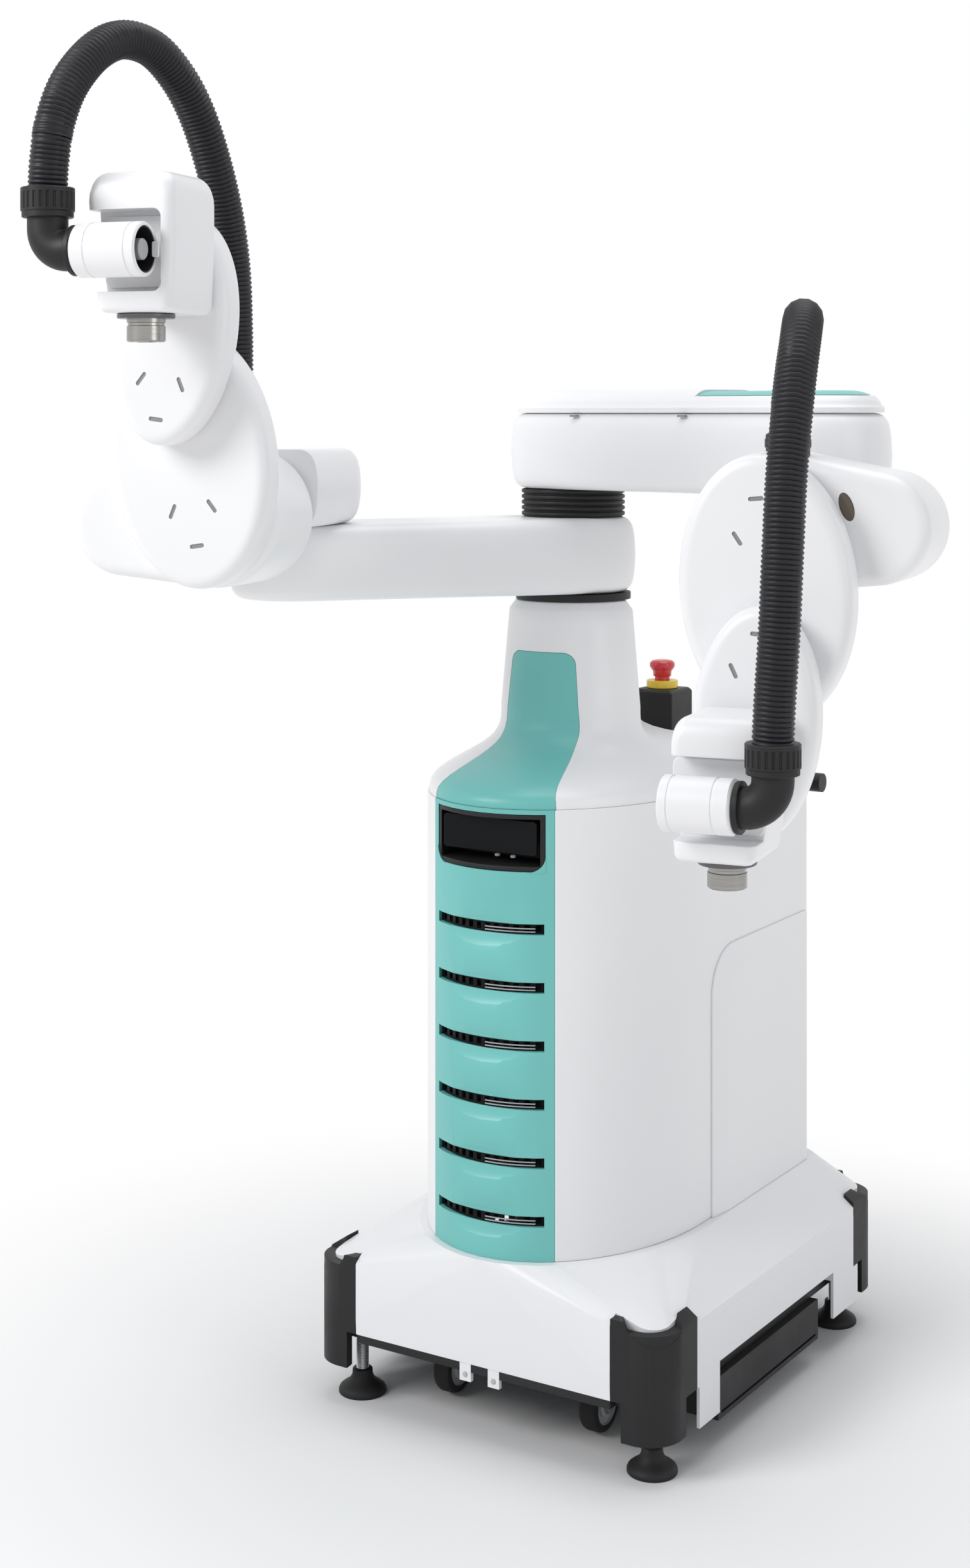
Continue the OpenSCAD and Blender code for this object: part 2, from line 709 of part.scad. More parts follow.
module link_end(r, h) {
    rotate_extrude($fn = 40) polygon([[0, 0], [r - 10, 0], [r - 3, 8], [r - 0.8, h * 0.3], [r, h / 2],
        [r - 0.8, h * 0.7], [r - 3, h - 7], [r - 8, h], [0, h]]);
}

module link_body(turn, z, rise) {
    hull() {
        translate([0, 0, z]) link_end(link_half, link_h);
        translate([each link_len * ahead(turn), z + rise]) link_end(link_half, link_h - rise);
    }
}

module left_link() {
    pin_z = left_link_z + link_h;
    color(WHITE) difference() {
        union() {
            link_body(left_link_turn, left_link_z, 7);
            translate([each left_elbow, pin_z - 2]) cylinder(r = elbow_pin_r, h = pin_len + 2);
        }
        translate([0, 0, left_link_z - 1]) cylinder(r = post_r + fit, h = link_h + 2);
    }
}

module right_link() {
    color(WHITE) difference() {
        union() {
            link_body(right_link_turn, right_link_z, 0);
            translate([each right_elbow, right_link_z - pin_len]) cylinder(r = elbow_pin_r, h = pin_len + 2);
        }
        translate([0, 0, right_link_z - 1]) cylinder(r = spigot_r + fit, h = spigot_h + 1 + gap);
    }
}

// The upper arm's cover is a low dome. Past the seam a coloured cap is let into its top
module link_dome(from, to, low, high) {
    z = right_link_z + link_h + gap;
    along = [for (k = [0, 0.5, 1]) k * right_elbow];
    intersection() {
        hull() {
            for (p = [along[0], along[2]]) translate([each p, z]) cylinder(r = link_half - 8, h = 6, $fn = 40);
            translate([each along[0], z]) cylinder(r = link_half - 26, h = dome_h - 4, $fn = 40);
            translate([each along[2], z]) cylinder(r = link_half - 30, h = dome_h - 8, $fn = 40);
            translate([each along[1], z]) cylinder(r = link_half - 34, h = dome_h, $fn = 40);
        }
        translate([0, 0, z + low]) rotate([0, 0, right_link_turn]) translate([-link_half, -to, 0])
            cube([2 * link_half, to - from, high - low]);
    }
}

module right_link_cover() {
    color(WHITE) {
        link_dome(-link_half, cover_seam, 0, dome_h);
        link_dome(cover_seam - 1, link_len + link_half, 0, cap_seat);
    }
}

module right_link_cap() {
    color(TEAL) link_dome(cover_seam + gap, link_len + link_half, cap_seat + gap, dome_h);
}

function fore_low(side) = side < 0 ? left_link_z + link_h + gap : right_link_z - gap - fore_h;

module forearm(side) {
    low = fore_low(side);
    pin_low = side < 0 ? low - 1 : low + fore_h - pin_len - gap;
    color(WHITE) fore_frame(side) difference() {
        hull() {
            translate([0, 0, low]) link_end(link_half - 1.5, fore_h);
            translate([0, -fore_cut - 60, low]) link_end(link_half - 1.5, fore_h);
        }
        translate([-200, -fore_cut - 300, low - 1]) cube([400, 300, fore_h + 2]);
        translate([0, 0, pin_low]) cylinder(r = elbow_pin_r + fit, h = pin_len + 1 + gap);
    }
}

module lift_housing(side) {
    back = fore_cut + gap;
    color(WHITE) fore_frame(side) difference() {
        union() {
            loft([for (k = [0:3]) upright(house_ring(edge_inset(edge, k)), back + edge_depth(edge, k)),
                for (k = [3:-1:0]) upright(house_ring(edge_inset(edge, k)), house_front - edge_depth(edge, k))]);
            bar_between(lift_pin_r, 0, [house_front - 2, house_front + pin_len], lift_z);
        }
        translate([socket_x(side), -socket_s, socket_z]) cylinder(r = hose_r + 3 + fit, h = 60);
    }
}

function house_ring(inset) = two_circle_ring([0, lift_z], bar1_over + 2, [lobe[0], lift_z - 5], lobe[1], inset);
socket_s = fore_cut + 80;
socket_z = 1180;
socket_h = 35;
function socket_x(side) = side < 0 ? -10 : 11;

module hose_socket(side) {
    color(BLACK) fore_frame(side) translate([socket_x(side), -socket_s, socket_z]) {
        cylinder(r = hose_r + 3, h = socket_h);
        translate([0, 0, 22]) cylinder(r = hose_r + 6, h = 10);
    }
}

// A bar is an elliptical slab that is centred between its two pivots
module bar(side, half, over, s, turn, foot) {
    translate([foot.x, 0, foot.y]) rotate([0, turn, 0]) loft([
        for (k = [0:3]) upright(bar_ring(half, over, edge_inset(edge, k)), s + edge_depth(edge, k)),
        for (k = [3:-1:0]) upright(bar_ring(half, over, edge_inset(edge, k)), s + bar_t - edge_depth(edge, k))]);
}

function bar_ring(half, over, inset) = ellipse_ring(half, bar_len / 2 + over, [0, bar_len / 2], inset);
function mid_pivot(side) = [bar_len * sin(lift_of(side)), lift_z + bar_len * cos(lift_of(side))];

module lift_bar(side) {
    p = mid_pivot(side);
    color(WHITE) fore_frame(side) difference() {
        union() {
            bar(side, bar1_half, bar1_over, bar1_s, lift_of(side), [0, lift_z]);
            bar_between(bar_pin_r, p.x, [bar1_s + bar_t - 2, bar1_s + bar_t + pin_len], p.y);
        }
        bar_between(lift_pin_r + fit, 0, [bar1_s - 1, bar1_s + pin_len + gap], lift_z);
    }
}

module swing_bar(side) {
    p = mid_pivot(side);
    color(WHITE) fore_frame(side) difference() {
        union() {
            bar(side, bar2_half, bar2_over, bar2_s, -lift_of(side), p);
            bar_between(bar_pin_r, 0, [bar2_s + bar_t - 2, bar2_s + bar_t + pin_len], hand_z(side));
        }
        bar_between(bar_pin_r + fit, p.x, [bar2_s - 1, bar2_s + pin_len + gap], p.y);
    }
}

module wrist(side) {
    z = hand_z(side);
    x = [-wrist_half, wrist_half];
    y = [-wrist_s - wrist_deep, -wrist_s];
    groove_x = side < 0 ? -25 : -60;
    color(WHITE) fore_frame(side) difference() {
        loft([flat(box_ring([x[0] + 4, x[1] - 12], y, 16, 5), z - wrist_down),
            flat(box_ring([x[0] + 3, x[1] - 11], y, 16, 0), z - wrist_down + 6),
            flat(box_ring([x[0], x[1] - 3], y, 16, 0), z + 10),
            flat(box_ring(x, y, 16, 0), z + wrist_up - 30),
            flat(box_ring(x, y, 16, 4), z + wrist_up - 12),
            flat(box_ring(x, y, 18, 9), z + wrist_up - 4),
            flat(box_ring(x, y, 20, 18), z + wrist_up)]);
        translate([groove_x, -wrist_s - wrist_deep - 1, z + duct_up - 41]) cube([120, 33, 84]);
        bar_between(bar_pin_r + fit, 0, [wrist_s - 1, wrist_s + pin_len + gap], z);
        translate([0, -flange_s, z - wrist_down - 1]) cylinder(r = 22 + fit, h = 17);
    }
}

function duct_end(side) = side < 0 ? 59 : 27;
function elbow_bend(side) = hose_r + (side < 0 ? 1 : 7);
function elbow_x(side) = duct_end(side) + elbow_bend(side) + (side < 0 ? 0 : 8);
function nut_top(side) = hand_z(side) + duct_up + hose_fitting_h;

module duct(side) {
    z = hand_z(side) + duct_up;
    x0 = duct_end(side) - duct_len;
    color(WHITE) fore_frame(side) difference() {
        union() {
            translate([x0, -duct_s, z]) rotate([0, 90, 0]) cylinder(r = duct_r, h = duct_len);
            translate([-8, -duct_s, z - 20]) cube([28, duct_s - wrist_s - wrist_deep + 32 - gap, 40]);
        }
        translate([x0 - 1, -duct_s, z]) rotate([0, 90, 0]) cylinder(r = duct_r - 5, h = 33);
        translate([duct_end(side) - 16, -duct_s, z]) rotate([0, 90, 0]) cylinder(r = hose_r + fit, h = 20);
    }
}

module hose_elbow(side) {
    z = hand_z(side) + duct_up;
    end = duct_end(side);
    bend = elbow_bend(side);
    x = elbow_x(side);
    nut_h = 31;
    color(BLACK) fore_frame(side) translate([0, -duct_s, 0]) difference() {
        union() {
            translate([end - 12, 0, z]) rotate([0, 90, 0]) cylinder(r = hose_r, h = x - bend - end + 12);
            translate([end + gap, 0, z]) rotate([0, 90, 0]) cylinder(r = hose_r + 5, h = 6);
            translate([x - bend, 0, z + bend]) rotate([90, 0, 0]) rotate([0, 0, -90])
                rotate_extrude(angle = 90) translate([bend, 0]) circle(hose_r, $fn = 40);
            translate([x, 0, z + bend]) cylinder(r = hose_r, h = hose_fitting_h - nut_h - bend + 1);
            translate([x, 0, z + hose_fitting_h - nut_h]) cylinder(r = hose_r + 6.5, h = nut_h);
        }
        translate([x, 0, z + hose_fitting_h - nut_h + 6]) cylinder(r = hose_r - 4, h = nut_h);
    }
}

// Hose routes in the forearm's frame: out, back from the duct, up, from the elbow fitting to the socket
left_route = [[81, 0, nut_top(-1)], [79, 0, 1495], [75, 4, 1533], [68, 22, 1575], [57, 57, 1612],
    [46, 97, 1630], [31, 137, 1625], [18, 172, 1598], [7, 197, 1560], [-3, 217, 1507], [-9, 234, 1452],
    [-12, 245, 1396], [-12, 251, 1335], [-11, 254, 1275],
    [socket_x(-1), duct_s - socket_s, socket_z + socket_h + gap]];
right_route = [[63, 0, nut_top(1)], [65, 0, 960], [69, 2, 1030], [71, 7, 1105], [72, 18, 1181],
    [73, 42, 1257], [70, 80, 1313], [59, 132, 1333], [44, 180, 1320], [28, 218, 1285], [16, 244, 1245],
    [socket_x(1), duct_s - socket_s, socket_z + socket_h + gap]];

function turn_at(p, i) = unit(p[min(i + 1, len(p) - 1)] - p[max(i - 1, 0)]);
function hose_ring(p, i) = let (t = i == 0 || i == len(p) - 1 ? [0, 0, i == 0 ? 1 : -1] : turn_at(p, i),
        a = unit(cross(t, [1, 0, 0])), b = cross(a, t))
    [for (k = [0:hose_sides - 1]) p[i] + hose_r * (cos(k * 360 / hose_sides) * a + sin(k * 360 / hose_sides) * b)];

module hose(side) {
    route = [for (p = side < 0 ? left_route : right_route) [p.x, p.y - duct_s, p.z]];
    color(BLACK) fore_frame(side) loft([for (i = [len(route) - 1:-1:0]) hose_ring(route, i)]);
}

module tool_flange(side) {
    z = hand_z(side) - wrist_down - gap;
    color(STEEL) fore_frame(side) translate([0, -flange_s, z]) difference() {
        union() {
            cylinder(r = 22, h = 14);
            translate([0, 0, -5]) cylinder(r = 33, h = 5);
            translate([0, 0, -5 - flange_len]) cylinder(r = flange_r, h = flange_len + 1);
        }
        translate([0, 0, -6 - flange_len]) cylinder(r = 10, h = 6);
        translate([0, 0, -6 - flange_len]) cylinder(r = 6, h = flange_len + 30);
        for (a = [45:90:315]) rotate([0, 0, a])
            translate([flange_pcd / 2, 0, -6 - flange_len]) cylinder(r = 2.5, h = 11, $fn = 24);
    }
}

base_plate();
cart_cover();
front_guards();
rear_guards();
foot_nuts();
side_boxes();
front_tabs();
castor_fork(0);  // castor_fork_fl
castor_fork(1);  // castor_fork_fr
castor_fork(2);  // castor_fork_rl
castor_fork(3);  // castor_fork_rr
castor_wheel(0);  // castor_wheel_fl
castor_wheel(1);  // castor_wheel_fr
castor_wheel(2);  // castor_wheel_rl
castor_wheel(3);  // castor_wheel_rr
foot_one(0);  // foot_fl
foot_one(1);  // foot_fr
foot_one(2);  // foot_rl
foot_one(3);  // foot_rr
column();
cabinet_shell();
front_panel();
display_bay();
slot_grilles();
side_panel(-1);  // side_panel_left
side_panel(1);  // side_panel_right
rear_cover();
push_handle();
controller();
neck_cowl();
neck_inlay();
stop_box();
stop_collar();
stop_button();
turret_collar();
turret_ring();
left_link();
forearm(-1);  // left_forearm
lift_housing(-1);  // left_lift_housing
lift_bar(-1);  // left_lift_bar
swing_bar(-1);  // left_swing_bar
wrist(-1);  // left_wrist
duct(-1);  // left_duct
hose_elbow(-1);  // left_hose_elbow
hose(-1);  // left_hose
hose_socket(-1);  // left_hose_socket
tool_flange(-1);  // left_tool_flange
right_link();
right_link_cover();
right_link_cap();
forearm(1);  // right_forearm
lift_housing(1);  // right_lift_housing
lift_bar(1);  // right_lift_bar
swing_bar(1);  // right_swing_bar
wrist(1);  // right_wrist
duct(1);  // right_duct
hose_elbow(1);  // right_hose_elbow
hose(1);  // right_hose
hose_socket(1);  // right_hose_socket
tool_flange(1);  // right_tool_flange
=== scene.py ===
import json
import math

import bmesh
import bpy
from mathutils import Matrix, Vector


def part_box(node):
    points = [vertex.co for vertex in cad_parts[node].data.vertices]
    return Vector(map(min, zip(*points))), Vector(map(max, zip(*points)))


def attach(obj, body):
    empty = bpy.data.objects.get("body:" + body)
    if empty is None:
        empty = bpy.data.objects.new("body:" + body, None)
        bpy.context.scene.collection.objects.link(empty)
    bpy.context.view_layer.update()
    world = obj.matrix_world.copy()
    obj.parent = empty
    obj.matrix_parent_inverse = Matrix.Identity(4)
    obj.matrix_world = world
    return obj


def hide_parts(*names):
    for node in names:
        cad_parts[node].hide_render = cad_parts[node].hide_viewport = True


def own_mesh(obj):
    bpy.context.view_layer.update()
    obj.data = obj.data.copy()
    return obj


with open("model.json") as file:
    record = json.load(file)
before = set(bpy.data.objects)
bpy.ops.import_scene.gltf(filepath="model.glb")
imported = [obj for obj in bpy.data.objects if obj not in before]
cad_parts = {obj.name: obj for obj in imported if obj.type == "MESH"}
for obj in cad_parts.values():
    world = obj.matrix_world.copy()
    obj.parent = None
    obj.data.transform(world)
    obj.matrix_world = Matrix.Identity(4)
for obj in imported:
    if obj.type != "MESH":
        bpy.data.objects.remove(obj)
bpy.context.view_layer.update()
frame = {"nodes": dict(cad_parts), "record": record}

SCALE = 0.001  # the sizes below are millimetres, and a finished mesh is in metres
BODY_OF = {n: b for b, nodes in frame["record"]["behaviour"]["bodies"].items() for n in nodes}
SLOT_OF = {p["node"]: p["material_slot"] for p in frame["record"]["subparts"]}

# Camera, at the place from which the photograph was taken
lens = bpy.data.cameras.new("camera")
lens.lens = 52.58
lens.sensor_width = 36
lens.shift_y = -0.2362
lens.clip_end = 100
camera = bpy.data.objects.new("camera", lens)
camera.location = (1.47174, -2.53953, 1.236)
camera.rotation_euler = (math.radians(90), 0, math.radians(32.3))
bpy.context.scene.collection.objects.link(camera)
bpy.context.scene.camera = camera

# Cart and cabinet
CART_FRONT, CABINET_TOP = -226, 764
CABINET_HALF, NOSE_LEN, NOSE_Y, CABINET_REAR, REAR_R = 174, 244, 21.6, 352, 24
SLOTS, SLOT_TOP, SLOT_STEP, SLOT_TALL = 6, 628, 69.6, 13
GUARD_X, GUARD_FRONT_Y, GUARD_REAR_Y, GUARD_R, GUARD_INNER_R = 207, 183, 357, 42.8, 29.2
GAP = 0.3
# Neck
NECK_TOP, NECK_TOP_R, NECK_FOOT_R, FLARE, NECK_BEVEL = 1000, 72.5, 92, 866, 12
# Arms
LINK_LEN, LINK_HALF, LINK_H, FORE_H, FORE_CUT = 392.5, 79.5, 95.7, 90, 118
LIFT_Z, BAR_LEN, BAR_T, HOUSE_FRONT = 1120, 138, 43.7, 236
BAR1_S = HOUSE_FRONT + GAP
BAR2_S = BAR1_S + BAR_T + GAP
WRIST_S = BAR2_S + BAR_T + GAP
WRIST_HALF, WRIST_DEEP, WRIST_UP, WRIST_DOWN = 49, 108, 90, 54
DUCT_S, DUCT_UP, DUCT_R, DUCT_LEN, HOSE_R, FITTING_H = 452, 8, 28, 74, 21, 65
SOCKET_S, SOCKET_TOP = 198, 1215.3
WRIST_FRONT = WRIST_S + WRIST_DEEP
RECESS = 32
ARMS = {
    "left": {"out": -1, "link_turn": -27.5, "fore_turn": 14, "link_z": 1009.3, "fore_z": 1105.3,
             "lift": 8.1, "duct_end": 45, "elbow_x": 81, "elbow_bend": 22, "groove": -36, "socket_x": -10},
    "right": {"out": 1, "link_turn": 77.5, "fore_turn": 10, "link_z": 1141.3, "fore_z": 1051.0,
              "lift": 175.6, "duct_end": 27, "elbow_x": 63, "elbow_bend": 28, "groove": -60, "socket_x": 11},
}


def heading(turn):
    """The direction of an arm, by its turn from straight ahead"""
    angle = math.radians(turn)
    return Vector((math.sin(angle), -math.cos(angle), 0))


def elbow_of(arm):
    return heading(arm["link_turn"]) * LINK_LEN


def fore_frame(arm):
    """x points out of the robot, -y along the forearm, from the elbow's axis"""
    return (Matrix.Translation(elbow_of(arm)) @ Matrix.Rotation(math.radians(arm["fore_turn"]), 4, "Z")
            @ Matrix.Diagonal((arm["out"], 1, 1, 1)))


def hand_z(arm):
    return LIFT_Z + 2 * BAR_LEN * math.cos(math.radians(arm["lift"]))


def middle_pivot(arm):
    angle = math.radians(arm["lift"])
    return Vector((BAR_LEN * math.sin(angle), LIFT_Z + BAR_LEN * math.cos(angle)))


def box_of(node):
    """Low and high corner of a CAD node, in millimetres"""
    return tuple(Vector(v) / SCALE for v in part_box(node))


# Finishes. A skin is a node group that several of them use
def new_skin(name):
    """A group with a tint between two colours and a gloss between two values, both still to be driven"""
    skin = bpy.data.node_groups.new(name, "ShaderNodeTree")
    for label, kind in (("Color", "NodeSocketColor"), ("Shade", "NodeSocketColor"),
                        ("Rough low", "NodeSocketFloat"), ("Rough high", "NodeSocketFloat"),
                        ("Grain scale", "NodeSocketFloat")):
        skin.interface.new_socket(name=label, in_out="INPUT", socket_type=kind)
    for label, kind in (("Color", "NodeSocketColor"), ("Roughness", "NodeSocketFloat"),
                        ("Height", "NodeSocketFloat")):
        skin.interface.new_socket(name=label, in_out="OUTPUT", socket_type=kind)
    nodes, links = skin.nodes, skin.links
    source, result = nodes.new("NodeGroupInput"), nodes.new("NodeGroupOutput")
    tint = nodes.new("ShaderNodeMix")
    tint.data_type = "RGBA"
    gloss = nodes.new("ShaderNodeMapRange")
    links.new(source.outputs["Color"], tint.inputs["A"])
    links.new(source.outputs["Shade"], tint.inputs["B"])
    links.new(source.outputs["Rough low"], gloss.inputs["To Min"])
    links.new(source.outputs["Rough high"], gloss.inputs["To Max"])
    links.new(tint.outputs["Result"], result.inputs["Color"])
    links.new(gloss.outputs["Result"], result.inputs["Roughness"])
    return skin, source, tint, gloss, result


def add_noise(skin, place, detail, scale=None):
    noise = skin.nodes.new("ShaderNodeTexNoise")
    noise.inputs["Detail"].default_value = detail
    if scale is not None:
        noise.inputs["Scale"].default_value = scale
    skin.links.new(place, noise.inputs["Vector"])
    return noise


def moulded_skin():
    """Soft cloudiness of colour and gloss, and a fine grain"""
    skin, source, tint, gloss, result = new_skin("moulded_skin")
    place = skin.nodes.new("ShaderNodeTexCoord").outputs["Object"]
    cloud = add_noise(skin, place, 4, 5)
    grain = add_noise(skin, place, 2)
    smear = add_noise(skin, place, 2, 14)
    gloss.inputs["From Min"].default_value = 0.3
    gloss.inputs["From Max"].default_value = 0.7
    skin.links.new(source.outputs["Grain scale"], grain.inputs["Scale"])
    skin.links.new(cloud.outputs["Fac"], tint.inputs["Factor"])
    skin.links.new(smear.outputs["Fac"], gloss.inputs["Value"])
    skin.links.new(grain.outputs["Fac"], result.inputs["Height"])
    return skin


def turned_skin():
    """Fine rings that a lathe leaves round a vertical axis"""
    skin, source, tint, gloss, result = new_skin("turned_skin")
    stretch = skin.nodes.new("ShaderNodeMapping")
    stretch.inputs["Scale"].default_value = (0.02, 0.02, 1)
    skin.links.new(skin.nodes.new("ShaderNodeTexCoord").outputs["Object"], stretch.inputs["Vector"])
    rings = add_noise(skin, stretch.outputs["Vector"], 3)
    skin.links.new(source.outputs["Grain scale"], rings.inputs["Scale"])
    skin.links.new(rings.outputs["Fac"], tint.inputs["Factor"])
    skin.links.new(rings.outputs["Fac"], gloss.inputs["Value"])
    skin.links.new(rings.outputs["Fac"], result.inputs["Height"])
    return skin


MOULDED = moulded_skin()
TURNED = turned_skin()
FINISH = {}


def finish(name, skin, color, shade, rough, grain, depth, metal=0.0, coat=0.0, coat_rough=0.1, shine=0.5):
    """A material: color and shade mix in clouds, rough is a low and a high, depth is the grain's in mm"""
    material = bpy.data.materials.new(name)
    material.use_nodes = True
    nodes, links = material.node_tree.nodes, material.node_tree.links
    shader = nodes["Principled BSDF"]
    shader.inputs["Metallic"].default_value = metal
    shader.inputs["Specular IOR Level"].default_value = shine
    shader.inputs["Coat Weight"].default_value = coat
    shader.inputs["Coat Roughness"].default_value = coat_rough
    surface = nodes.new("ShaderNodeGroup")
    surface.node_tree = skin
    surface.inputs["Color"].default_value = (*color, 1)
    surface.inputs["Shade"].default_value = (*shade, 1)
    surface.inputs["Rough low"].default_value = rough[0]
    surface.inputs["Rough high"].default_value = rough[1]
    surface.inputs["Grain scale"].default_value = grain
    relief = nodes.new("ShaderNodeBump")
    relief.inputs["Strength"].default_value = 1
    relief.inputs["Distance"].default_value = depth * SCALE
    links.new(surface.outputs["Color"], shader.inputs["Base Color"])
    links.new(surface.outputs["Roughness"], shader.inputs["Roughness"])
    links.new(surface.outputs["Height"], relief.inputs["Height"])
    links.new(relief.outputs["Normal"], shader.inputs["Normal"])
    FINISH[name] = material


finish("white_shell", MOULDED, (0.86, 0.86, 0.87), (0.82, 0.82, 0.832), (0.34, 0.40), 900, 0.004,
        coat=0.12, coat_rough=0.2)
finish("teal_panel", MOULDED, (0.165, 0.53, 0.50), (0.14, 0.48, 0.455), (0.38, 0.46), 900, 0.005,
        coat=0.1, coat_rough=0.25)
finish("black_plastic", MOULDED, (0.010, 0.010, 0.011), (0.016, 0.016, 0.017), (0.42, 0.58), 1100,
        0.03, shine=0.3)
finish("black_steel", MOULDED, (0.012, 0.012, 0.013), (0.02, 0.02, 0.021), (0.4, 0.55), 1600, 0.03,
        shine=0.3)
finish("hose_rubber", MOULDED, (0.009, 0.009, 0.012), (0.014, 0.013, 0.018), (0.4, 0.55), 1200, 0.02,
        shine=0.3)
finish("black_rubber", MOULDED, (0.010, 0.010, 0.010), (0.018, 0.017, 0.017), (0.6, 0.8), 900, 0.05,
        shine=0.3)
finish("foot_rubber", MOULDED, (0.012, 0.012, 0.013), (0.02, 0.02, 0.021), (0.5, 0.7), 900, 0.04,
        shine=0.3)
finish("zinc_steel", TURNED, (0.62, 0.63, 0.64), (0.46, 0.47, 0.48), (0.26, 0.42), 900, 0.01, metal=1.0)
finish("inner_steel", MOULDED, (0.42, 0.43, 0.44), (0.36, 0.37, 0.38), (0.4, 0.5), 1200, 0.02)
finish("tool_steel", TURNED, (0.44, 0.43, 0.41), (0.22, 0.21, 0.20), (0.14, 0.34), 1600, 0.012, metal=1.0)
finish("dark_steel", TURNED, (0.16, 0.16, 0.165), (0.10, 0.10, 0.105), (0.25, 0.4), 1200, 0.01, metal=1.0)
finish("yellow_plastic", MOULDED, (0.85, 0.60, 0.03), (0.78, 0.53, 0.03), (0.3, 0.42), 1300, 0.01,
        coat=0.2)
finish("red_plastic", MOULDED, (0.62, 0.02, 0.03), (0.52, 0.015, 0.025), (0.25, 0.36), 1300, 0.01,
        coat=0.35)
# Dark grey: the keys and clips, and the inserts that paint shade into the bars' slots
finish("grey_parts_and_slot_shade", MOULDED, (0.22, 0.22, 0.23), (0.30, 0.30, 0.31), (0.5, 0.6), 1100, 0.02)
finish("window", MOULDED, (0.045, 0.03, 0.012), (0.10, 0.06, 0.015), (0.06, 0.12), 400, 0.0, coat=0.8,
        coat_rough=0.03)
finish("screen", MOULDED, (0.004, 0.0045, 0.005), (0.007, 0.008, 0.009), (0.3, 0.4), 400, 0.0, shine=0.1)


# Mesh helpers, which work in millimetres
def turn_outward(bm):
    """Faces outward, also after a mirroring"""
    bm.normal_update()
    bmesh.ops.recalc_face_normals(bm, faces=bm.faces)
    if bm.calc_volume(signed=True) < 0:
        bmesh.ops.reverse_faces(bm, faces=bm.faces)


def piece(name, bm, body, slot, *stands_for, finish_name=None, place=None, sharp=38, edge=0.0):
    """A finished object from a bmesh"""
    if place is not None:
        bm.transform(place)
    bmesh.ops.remove_doubles(bm, verts=bm.verts, dist=0.002)
    turn_outward(bm)
    bm.transform(Matrix.Scale(SCALE, 4))
    mesh = bpy.data.meshes.new(name)
    bm.to_mesh(mesh)
    bm.free()
    made = bpy.data.objects.new(name, mesh)
    bpy.context.scene.collection.objects.link(made)
    mesh.materials.append(FINISH[finish_name or slot])
    mesh.polygons.foreach_set("use_smooth", [True] * len(mesh.polygons))
    mesh.set_sharp_from_angle(angle=math.radians(sharp))
    if edge:
        round_edges(made, edge, sharp)
    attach(made, body)
    if stands_for:
        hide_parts(*stands_for)
    return made


def round_edges(made, edge, sharp=30):
    bevel = made.modifiers.new("round_edges", "BEVEL")
    bevel.width = edge * SCALE
    bevel.segments = 2
    bevel.limit_method = "ANGLE"
    bevel.angle_limit = math.radians(sharp)
    bevel.harden_normals = True


def settle(made):
    """Applies what modifiers a piece has"""
    shape = bpy.data.meshes.new_from_object(made.evaluated_get(bpy.context.evaluated_depsgraph_get()))
    made.modifiers.clear()
    old = made.data
    made.data = shape
    bpy.data.meshes.remove(old)


def cut(made, bm, operation="DIFFERENCE", place=None):
    """Takes the closed shape in bm away from a piece, or keeps only what they share"""
    if place is not None:
        bm.transform(place)
    turn_outward(bm)
    bm.transform(Matrix.Scale(SCALE, 4))
    mesh = bpy.data.meshes.new("cutter")
    bm.to_mesh(mesh)
    bm.free()
    cutter = bpy.data.objects.new("cutter", mesh)
    bpy.context.scene.collection.objects.link(cutter)
    boolean = made.modifiers.new("cut", "BOOLEAN")
    boolean.operation = operation
    boolean.object = cutter
    boolean.solver = "EXACT"
    bpy.context.view_layer.update()
    settle(made)
    bpy.data.objects.remove(cutter)
    bpy.data.meshes.remove(mesh)
    made.data.polygons.foreach_set("use_smooth", [True] * len(made.data.polygons))
    made.data.set_sharp_from_angle(angle=math.radians(38))


def dressed(node, edge=0.6, sharp=32, finish_name=None):
    """A skin over a CAD node whose form is right, with its edges rounded"""
    bm = bmesh.new()
    bm.from_mesh(frame["nodes"][node].data)
    bm.transform(Matrix.Scale(1 / SCALE, 4))
    bmesh.ops.remove_doubles(bm, verts=bm.verts, dist=0.01)
    bmesh.ops.dissolve_limit(bm, angle_limit=math.radians(0.4), verts=bm.verts, edges=bm.edges)
    return piece(node + "_skin", bm, BODY_OF[node], SLOT_OF[node], node, finish_name=finish_name,
                 sharp=sharp, edge=edge)


def ring_edges(bm, points):
    verts = [bm.verts.new(p) for p in points]
    return [bm.edges.new((verts[i - 1], verts[i])) for i in range(len(verts))]


def loft(bm, rings):
    """A closed skin through rings that have the same number of points"""
    loops = [ring_edges(bm, ring) for ring in rings]
    for low, high in zip(loops, loops[1:]):
        bmesh.ops.bridge_loops(bm, edges=low + high)
    for end in (loops[0], loops[-1]):
        bmesh.ops.edgeloop_fill(bm, edges=end)
    return bm


def rim(edge, steps=6):
    """Pairs of inset and depth round a quarter circle, with a flat margin first"""
    turns = [i * math.pi / 2 / steps for i in range(steps + 1)]
    return [(edge + 2, 0)] + [(edge * (1 - math.sin(t)), edge * (1 - math.cos(t))) for t in turns]


def slab(outline, low, high, edge, lay):
    """A plate with rounded rims, from an outline that takes an inset. lay puts its points in space"""
    rings = [lay(outline(i), low + d) for i, d in rim(edge)]
    rings += [lay(outline(i), high - d) for i, d in reversed(rim(edge))]
    return loft(bmesh.new(), rings)


def flat(points, z):
    return [(x, y, z) for x, y in points]


def upright(points, s):
    return [(x, -s, z) for x, z in points]


def arc(centre, r, start, stop, steps=10):
    """Points on an arc, by angles in degrees"""
    turns = [math.radians(start + (stop - start) * i / steps) for i in range(steps + 1)]
    return [(centre[0] + r * math.cos(t), centre[1] + r * math.sin(t)) for t in turns]


